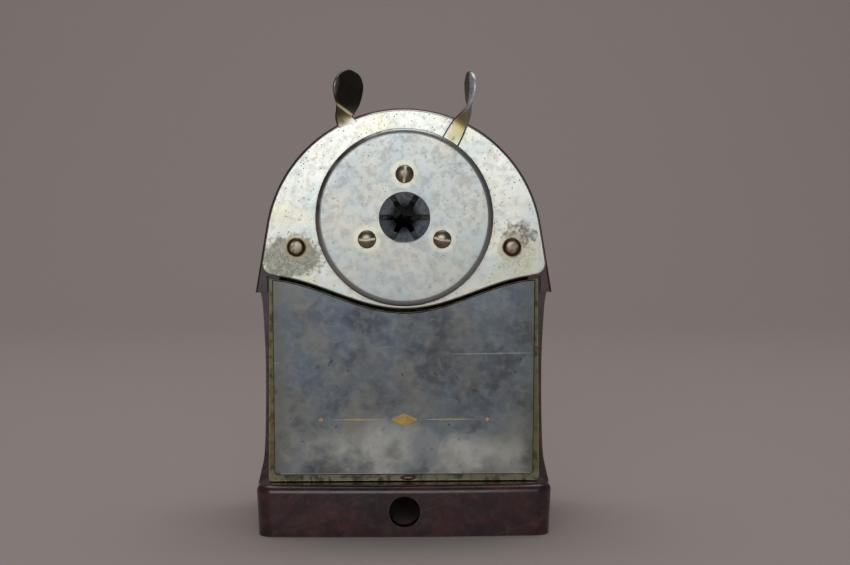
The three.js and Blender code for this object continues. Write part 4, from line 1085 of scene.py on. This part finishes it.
def strip(left, right, thickness, steps=7, dish=0.0):
    """A bent strip of sheet between two edge lines, its long edges rounded."""
    lefts = catmull([Vector(p) for p in left], steps)
    rights = catmull([Vector(p) for p in right], steps)
    corner = thickness * 0.42
    section = []
    for side, start in ((1, -90), (-1, 90)):
        for i in range(7):
            angle = math.radians(start + 180 * i / 6)
            section.append((side, math.cos(angle), math.sin(angle)))
    bm = bmesh.new()
    rings = []
    total = len(lefts) - 1
    middles = [(a + b) / 2 for a, b in zip(lefts, rights)]
    for i, (near, far) in enumerate(zip(lefts, rights)):
        along = middles[min(i + 1, total)] - middles[max(i - 1, 0)]
        across = (far - near).normalized()
        face = across.cross(along).normalized()
        width = (far - near).length
        half = max(width / 2 - corner, 0.02)
        ring = []
        for side, out, up in section:
            u = side * half + out * corner
            hollow = dish * (1 - (u / (half + corner)) ** 2) * smoothstep(width, 5.2, 8.0)
            ring.append(bm.verts.new(middles[i] + across * u + face * (up * thickness / 2 - hollow)))
        rings.append(ring)
    count = len(section)
    for ring, following in zip(rings, rings[1:]):
        for k in range(count):
            bm.faces.new((ring[k], ring[(k + 1) % count], following[(k + 1) % count], following[k]))
    bm.faces.new(rings[0])
    bm.faces.new(reversed(rings[-1]))
    bmesh.ops.recalc_face_normals(bm, faces=bm.faces)
    return bm


def make_tab():
    """Left finger tab: a neck from the plate, folded along a slant, and a drop-shaped pad."""
    y = PLATE_FRONT + 0.42
    left = [
        (-16.2, y, 102.2), (-16.75, y, 103.3), (-17.1, y - 0.1, 105.2), (-16.85, y - 0.8, 107.9),
        (-17.3, y - 2.6, 110.3), (-17.45, y - 3.4, 112.6), (-16.75, y - 3.0, 114.7), (-15.7, y - 1.9, 116.0),
        (-14.3, y - 0.5, 116.7),
    ]
    right = [
        (-11.5, y, 103.9), (-12.0, y, 104.5), (-12.6, y, 105.1), (-12.35, y + 0.3, 105.8),
        (-11.3, y + 1.9, 107.8), (-10.55, y + 2.9, 110.3), (-10.25, y + 3.1, 113.0), (-11.2, y + 2.3, 115.4),
        (-13.2, y + 0.5, 116.65),
    ]
    return strip(left, right, 1.0, dish=0.45)


def make_lever():
    """Right finger lever: a flat strip whose left edge turns forward and over into an edge-on pad."""
    y = PLATE_FRONT - 0.85
    left = [
        (7.6, y, 96.6), (9.55, y, 100.3), (11.8, y, 104.0), (13.6, y - 1.1, 105.8), (15.5, y - 2.6, 107.4),
        (16.75, y - 3.7, 109.2), (17.4, y - 4.3, 111.6), (17.4, y - 4.0, 113.6), (17.0, y - 2.6, 115.4),
        (16.55, y - 0.8, 116.25),
    ]
    right = [
        (11.6, y, 94.6), (13.7, y, 98.3), (15.25, y, 101.7), (16.2, y + 0.3, 104.3), (16.35, y + 1.2, 106.4),
        (15.85, y + 2.8, 109.0), (15.6, y + 3.9, 111.6), (15.55, y + 3.7, 113.6), (15.7, y + 2.2, 115.4),
        (16.05, y + 0.6, 116.25),
    ]
    return strip(left, right, 1.05, dish=0.35)


def make_front_plate():
    plate = prism(plate_outline(0), PLATE_FRONT, PLATE_RIM_BACK)
    front = [e for e in plate.edges if max(v.co.y for v in e.verts) < PLATE_FRONT + 0.01]
    bmesh.ops.bevel(plate, geom=front, offset=0.4, segments=5, profile=0.5, affect="EDGES")
    pocket = prism(plate_outline(1.0), PLATE_FRONT + 1.0, PLATE_RIM_BACK + 5)
    holes = [bar(0, AXIS_Z, 8.6, -40, -10, 64)]
    holes += [bar(*on_circle(SCREW_CIRCLE, angle), 1.4, -40, -10, 24) for angle in JAW_ANGLES]
    holes += [bar(side * ROD_X, ROD_Z, 1.5, -40, -10, 24) for side in (-1, 1)]
    piece = shaped("front_plate_pressing", plate, cuts=[pocket, *holes])
    fit(piece, "carriage", BRIGHT_NICKEL, "bright_nickel", "front_plate")
    tab = shaped("front_plate_tab", make_tab(), smooth_angle=60)
    return piece, fit(tab, "carriage", TAB_NICKEL, "bright_nickel", "front_plate")


def make_cam_ring():
    lever = shaped("lever_blade", make_lever(), smooth_angle=60)
    fit(lever, "chuck_lever", LEVER_NICKEL, "bright_nickel", "cam_ring")
    ring = turned([
        (12.5, -25.85), (20.3, -25.85), (20.4, -25.75), (20.4, -24.9), (20.3, -24.8), (12.5, -24.8),
    ], closed=True)
    slots = []
    for start in JAW_ANGLES:
        outer, inner = [], []
        for k in range(17):
            swing = -CAM_SLOT_SPARE + (CAM_SWING + 2 * CAM_SLOT_SPARE) * k / 16
            radius = CAM_PIN_RADIUS + JAW_TRAVEL * swing / CAM_SWING
            for line, offset in ((outer, 1.05), (inner, -1.05)):
                line.append(on_circle(radius + offset, start - swing))
        slots.append(prism([*outer, *reversed(inner)], -40, -10))
    face = shaped("cam_ring_pressing", ring, cuts=slots)
    fit(face, "chuck_lever", LEVER_NICKEL, "bright_nickel", "cam_ring")
    return lever


def make_cover():
    profile = [
        (MOUTH_RADIUS, COVER_BACK), (MOUTH_RADIUS, COVER_FRONT + 0.25), (MOUTH_RADIUS + 0.25, COVER_FRONT),
        (12.0, COVER_FRONT), (20.0, COVER_FRONT), (20.6, COVER_FRONT + 0.02),
    ]
    bend = 1.7
    for i in range(1, 11):
        angle = math.radians(90 * i / 10)
        profile.append((
            COVER_RADIUS - bend + bend * math.sin(angle), COVER_FRONT + 1.3 * (1 - math.cos(angle)),
        ))
    profile += [
        (COVER_RADIUS, COVER_RIM_BACK - 0.2), (COVER_RADIUS - 0.2, COVER_RIM_BACK),
        (COVER_RADIUS - 0.6, COVER_RIM_BACK), (COVER_RADIUS - 0.8, COVER_RIM_BACK - 0.2),
        (COVER_RADIUS - 0.8, COVER_BACK + 0.7), (20.2, COVER_BACK),
    ]
    holes = [bar(*on_circle(SCREW_CIRCLE, angle), 1.5, -40, -27, 32) for angle in SCREW_ANGLES]
    piece = shaped("chuck_cover_pressing", turned(profile, segments=144, closed=True), cuts=holes)
    return fit(piece, "carriage", COVER_NICKEL, "dull_nickel", "chuck_cover")


def make_cover_screw(index, angle, slot_turn):
    x, z = on_circle(SCREW_CIRCLE, angle)
    front, back, radius = -30.6, COVER_FRONT - 0.02, 2.25
    profile = [(0, front)]
    for i in range(1, 11):
        swing = math.radians(90 * i / 10)
        profile.append((radius * math.sin(swing), front + 1.1 * (1 - math.cos(swing))))
    profile += [(radius, back), (1.2, back), (1.2, -21.2), (0, -21.2)]
    slot = block((-4, front - 1, -0.27), (4, front + 0.62, 0.27))
    slot.transform(Matrix.Translation((x, 0, z)) @ Matrix.Rotation(-math.radians(slot_turn), 4, "Y"))
    piece = shaped(
        f"cover_screw_head_{index}", turned(profile, x, z, 48), cuts=[slot], round_by=0.07, round_steps=2,
        round_angle=50,
    )
    return fit(piece, "carriage", SCREW_STEEL, "dull_nickel", f"cover_screw_{index}")


def make_guide_rod(name, side):
    front = -25.5
    profile = [
        (0, front), (1.45, front), (1.75, front + 0.08), (2.02, front + 0.3), (2.2, front + 0.62),
        (2.2, PLATE_FRONT - 0.03), (1.4, PLATE_FRONT - 0.03), (1.4, -23.35), (1.95, -23.35), (1.95, 18.9),
        (1.65, 19.2), (0, 19.2),
    ]
    piece = shaped(f"guide_rod_{name}_turned", turned(profile, side * ROD_X, ROD_Z, 48))
    return fit(piece, "carriage", RIVET_STEEL, "dull_nickel", f"guide_rod_{name}")


def make_jaw(index, angle):
    """One jaw drawn pointing along +X: a sloped nose, a flat tail with its slot and cam pin."""
    side = [
        (2.6, -19.0), (2.6, -25.6), (6.5, -28.0), (15.8, -28.0),
        (15.8, -26.2), (5.6, -26.2), (4.8, -25.2), (4.8, -19.0),
    ]
    bm = bmesh.new()
    half = 5.0
    low = [bm.verts.new((u, y, AXIS_Z - half)) for u, y in side]
    high = [bm.verts.new((u, y, AXIS_Z + half)) for u, y in side]
    bm.faces.new(low)
    bm.faces.new(reversed(high))
    for i in range(len(side)):
        j = (i + 1) % len(side)
        bm.faces.new((low[j], low[i], high[i], high[j]))
    bmesh.ops.recalc_face_normals(bm, faces=bm.faces)
    nose = 0.5
    full = 6.0
    wedges = []
    for sign in (-1, 1):
        points = [
            (2.0, sign * nose), (2.95, sign * 0.8), (3.35, sign * 1.1), (full, sign * 2.75),
            (7.4, sign * 3.3), (20, sign * 3.3), (20, sign * 12), (2.0, sign * 12),
        ]
        wedges.append(prism([(u, AXIS_Z + v) for u, v in points], -32, -15))
    slot = prism([
        *arc(10.75, AXIS_Z, 1.45, -90, 90, 12), *arc(7.85, AXIS_Z, 1.45, 90, 270, 12),
    ], -32, -15)
    pin = bar(14.2, AXIS_Z, 0.9, -26.5, -24.95, 24)
    piece = shaped(
        f"jaw_{index}_ground", spun(bm, angle), joins=[spun(pin, angle)],
        cuts=[spun(tool, angle) for tool in (*wedges, slot)], round_by=0.14, round_steps=2, round_angle=30,
    )
    return fit(piece, f"jaw_{index}", BLUED_STEEL, "blued_steel", f"jaw_{index}")


def make_feed_spring(name, side):
    """Round wire wound ten turns, with closed ends, round its guide rod."""
    front, back, turns = -12.5, 16.5, 10
    steps = turns * 24
    points = []
    for i in range(steps + 1):
        t = i / steps
        angle = 2 * math.pi * turns * t
        depth = front + (back - front) * (0.5 - 0.5 * math.cos(math.pi * t) if t < 0.04 or t > 0.96 else t)
        points.append(Vector((side * ROD_X + 2.9 * math.cos(angle), depth, ROD_Z + 2.9 * math.sin(angle))))
    piece = shaped(f"feed_spring_{name}_wire", swept(points, 0.3), smooth_angle=80)
    fit(piece, "root", SPRING_WIRE, "spring_steel", f"feed_spring_{name}")
    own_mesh(piece)
    return piece


# ---------------------------------------------------------------- drawer


def make_drawer():
    flange = prism(drawer_outline(0), DRAWER_FLANGE, -19.6)
    outer = block((-31.2, -19.8, DRAWER_BOTTOM), (31.2, 18.5, 54))
    inner = block((-30.4, -19.6, DRAWER_BOTTOM + 0.8), (30.4, 17.7, 90))
    box = shaped("drawer_box_sheet", flange, joins=[outer], cuts=[inner], round_by=0.2, round_steps=2)
    fit(box, "drawer", DRAWER_BRASSY, "drawer_sheet", "drawer_box")
    panel = prism(drawer_outline(1.5, 0.1, 1.6), DRAWER_FACE, DRAWER_FLANGE + 0.05)
    rim = [e for e in panel.edges if max(v.co.y for v in e.verts) < DRAWER_FACE + 0.01]
    bmesh.ops.bevel(panel, geom=rim, offset=0.3, segments=4, profile=0.5, affect="EDGES")
    face = shaped("drawer_front_panel", panel)
    fit(face, "drawer", DRAWER_TARNISH, "tarnished_nickel", "drawer_front")
    return box, face


def make_ornament():
    """A plain engraved line with a lozenge at its middle, filled with gold lacquer."""
    z = 29.0
    depth = DRAWER_FACE - 0.045
    shapes = [[(-3.4, z), (0, z - 1.5), (3.4, z), (0, z + 1.5)]]
    for side in (-1, 1):
        for inner, outer, half in ((4.6, 19.5, 0.19), (20.4, 21.6, 0.55)):
            shapes.append([
                (side * inner, z), (side * (inner + outer) / 2, z - half), (side * outer, z),
                (side * (inner + outer) / 2, z + half),
            ])
    bm = bmesh.new()
    for outline in shapes:
        if outline[0][0] > outline[2][0]:
            outline.reverse()
        part = prism(outline, depth, DRAWER_FACE + 0.1)
        mesh = bpy.data.meshes.new("part")
        part.to_mesh(mesh)
        part.free()
        bm.from_mesh(mesh)
        bpy.data.meshes.remove(mesh)
    return fit(shaped("engraved_line", bm), "drawer", ENGRAVING, "brass")


def make_solder_drop():
    """The drop of solder at the foot of the drawer front."""
    back = DRAWER_FLANGE + 0.1
    profile = [(0, -21.35), (0.9, -21.3), (1.5, -21.1), (1.9, -20.75), (2.0, back), (0, back)]
    bm = turned(profile, 0, 0, 32)
    bm.transform(Matrix.Translation((1.0, 0, DRAWER_BOTTOM + 0.75)) @ Matrix.Diagonal((1.0, 1, 0.32, 1)))
    return fit(shaped("solder_drop", bm), "drawer", SOLDER, "tarnished_nickel")


# ---------------------------------------------------------------- crank and back


def make_crank():
    shape = [
        *arc(0, AXIS_Z, 6.5, 20, 160, 28), *arc(0, AXIS_Z - CRANK_THROW, 5.0, 180, 360, 28),
    ]
    arm = shaped(
        "crank_arm_strip", prism(shape, 26.0, 28.2),
        cuts=[bar(0, AXIS_Z, 3.1, 20, 40), bar(0, AXIS_Z - CRANK_THROW, 2.1, 20, 40)],
        round_by=0.4, round_steps=3,
    )
    fit(arm, "crank", CRANK_NICKEL, "bright_nickel", "crank_arm")
    nut = shaped(
        "crank_cap_nut", turned([(0, 28.4), (5.6, 28.4), (5.6, 31.2), (4.9, 32.2), (0, 32.2)], segments=6),
        cuts=[bar(0, AXIS_Z, 3.1, 25, 35)], round_by=0.35, round_steps=3, round_angle=25,
    )
    fit(nut, "crank", CRANK_NICKEL, "bright_nickel", "crank_nut")
    z = AXIS_Z - CRANK_THROW
    pin = shaped("knob_pin_turned", turned([
        (0, 25.4), (2.4, 25.45), (3.0, 25.7), (3.0, 25.85), (2.0, 25.85), (2.0, 52.25), (3.6, 52.25),
        (3.55, 52.8), (3.1, 53.5), (2.0, 54.0), (0, 54.2),
    ], 0, z, 48))
    fit(pin, "crank", CRANK_NICKEL, "bright_nickel", "knob_pin")
    side = catmull([Vector(p) for p in (
        (4.6, 30.0), (5.3, 31.2), (5.0, 32.4), (5.9, 35.0), (6.9, 38.5), (7.35, 44.0), (6.6, 49.5), (4.4, 52.0),
    )], 5)
    profile = [(2.3, 30.2), (4.2, 30.0), *((p.x, p.y) for p in side[1:]), (2.3, 52.0)]
    knob = shaped("turned_knob", turned(profile, 0, z, 64, closed=True))
    fit(knob, "knob", KNOB_WOOD, "knob_wood", "crank_knob")


def make_back():
    bush = shaped("bearing_bush_turned", turned([
        (3.2, 19.5), (5.4, 19.5), (5.4, 23.2), (7.8, 23.2), (8.0, 23.4), (8.0, 24.0), (7.7, 24.3), (6.4, 25.2),
        (6.1, 25.4), (3.5, 25.4), (3.2, 25.2),
    ], closed=True))
    fit(bush, "root", BRASS, "brass", "bearing_bush")
    for index, angle in enumerate(SCREW_ANGLES, 1):
        x, z = on_circle(FRAME_SCREW_CIRCLE, angle)
        profile = [
            (0, 25.25), (1.2, 25.15), (2.1, 24.8), (2.7, 24.2), (3.0, 23.5), (3.0, 23.2), (1.5, 23.2),
            (1.5, 17.6), (0, 17.6),
        ]
        slot = block((-5, 24.5, -0.45), (5, 27, 0.45))
        slot.transform(Matrix.Translation((x, 0, z)) @ Matrix.Rotation(math.radians(angle + 20), 4, "Y"))
        screw = shaped(
            f"frame_screw_head_{index}", turned(profile, x, z, 48), cuts=[slot],
            round_by=0.08, round_steps=2, round_angle=50,
        )
        fit(screw, "root", SCREW_STEEL, "dull_nickel", f"frame_screw_{index}")


def dress_inner_nodes():
    """The mechanism keeps the frame's shapes and gets its real finishes."""
    finishes = {
        "mechanism_frame": CASTING, "ring_gear": TOOL_STEEL, "cutter_carrier": CASTING,
        "cutter_axle": TOOL_STEEL, "milling_cutter": TOOL_STEEL, "cutter_pinion": TOOL_STEEL,
        "chuck_body": CASTING,
        "lever_spring": SPRING_WIRE, "rod_nut_left": CRANK_NICKEL, "rod_nut_right": CRANK_NICKEL,
        "guide_bush_left": BRASS, "guide_bush_right": BRASS,
    }
    finishes.update({f"jaw_guide_pin_{k}": TOOL_STEEL for k in (1, 2, 3)})
    for name, material in finishes.items():
        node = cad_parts[name]
        node.data.materials.clear()
        node.data.materials.append(material)


# ---------------------------------------------------------------- studio


def make_studio():
    """A plain pale floor that runs up into a backdrop, soft lamps and the camera."""
    bm = bmesh.new()
    width = 3.0
    profile = [(-2.5, 0.0), (0.55, 0.0)]
    bend = 0.5
    for i in range(1, 13):
        angle = math.radians(90 * i / 12)
        profile.append((0.55 + bend * math.sin(angle), bend * (1 - math.cos(angle))))
    profile.append((0.55 + bend, 2.6))
    left = [bm.verts.new((-width, y, z)) for y, z in profile]
    right = [bm.verts.new((width, y, z)) for y, z in profile]
    for i in range(len(profile) - 1):
        bm.faces.new((left[i], right[i], right[i + 1], left[i + 1]))
    mesh = bpy.data.meshes.new("floor")
    bm.to_mesh(mesh)
    bm.free()
    for face in mesh.polygons:
        face.use_smooth = True
    floor = bpy.data.objects.new("floor", mesh)
    bpy.context.scene.collection.objects.link(floor)
    paper = Finish("floor_paper", (0.475, 0.422, 0.403), 0.8)
    grain = paper.mask("clouds", Scale=14, Threshold=0.5, Softness=0.3)
    paper.colour(paper.times(grain, 0.3), (0.47, 0.42, 0.40))
    mesh.materials.append(paper.done())

    def lamp(name, place, target, size, power, colour=(1, 1, 1)):
        data = bpy.data.lights.new(name, "AREA")
        data.shape = "RECTANGLE"
        data.size, data.size_y = size
        data.energy = power
        data.color = colour
        light = bpy.data.objects.new(name, data)
        light.location = place
        light.rotation_euler = (Vector(target) - Vector(place)).to_track_quat("-Z", "Y").to_euler()
        bpy.context.scene.collection.objects.link(light)

    lamp("front_softbox", (-0.10, -0.95, 0.25), (0, 0, 0.085), (0.62, 0.42), 2.15, (1.0, 1.0, 0.965))
    lamp("top_softbox", (0.0, 0.05, 0.95), (0, 0, 0.0), (0.7, 0.6), 2.2, (1.0, 0.96, 0.93))
    lamp("backdrop_wash", (0.0, 0.25, 1.25), (0, 0.9, 0.25), (1.6, 0.5), 3.2, (1.0, 0.95, 0.92))
    world = bpy.data.worlds.new("studio")
    world.use_nodes = True
    world.node_tree.nodes["Background"].inputs["Color"].default_value = (0.86, 0.86, 0.90, 1)
    world.node_tree.nodes["Background"].inputs["Strength"].default_value = 0.10
    bpy.context.scene.world = world

    data = bpy.data.cameras.new("camera")
    data.lens = 68.3
    data.sensor_width = 36.0
    data.sensor_fit = "HORIZONTAL"
    data.clip_start = 0.01
    camera = bpy.data.objects.new("camera", data)
    camera.location = (-0.0071, HOUSING_LOW.y * MM - CAMERA_REACH, 0.089)
    camera.rotation_euler = (math.radians(90 - CAMERA_PITCH), 0, math.radians(-CAMERA_YAW))
    bpy.context.scene.collection.objects.link(camera)
    bpy.context.scene.camera = camera
    bpy.context.scene.view_settings.view_transform = "Standard"


# ---------------------------------------------------------------- build

make_studio()
make_housing()
make_front_plate()
make_cam_ring()
make_cover()
for index, (angle, turn) in enumerate(zip(SCREW_ANGLES, SCREW_SLOT_TURNS), 1):
    make_cover_screw(index, angle, turn)
for index, angle in enumerate(JAW_ANGLES, 1):
    make_jaw(index, angle)
for name, side in (("left", -1), ("right", 1)):
    make_guide_rod(name, side)
    make_feed_spring(name, side)
make_drawer()
make_ornament()
make_solder_drop()
make_crank()
make_back()
dress_inner_nodes()
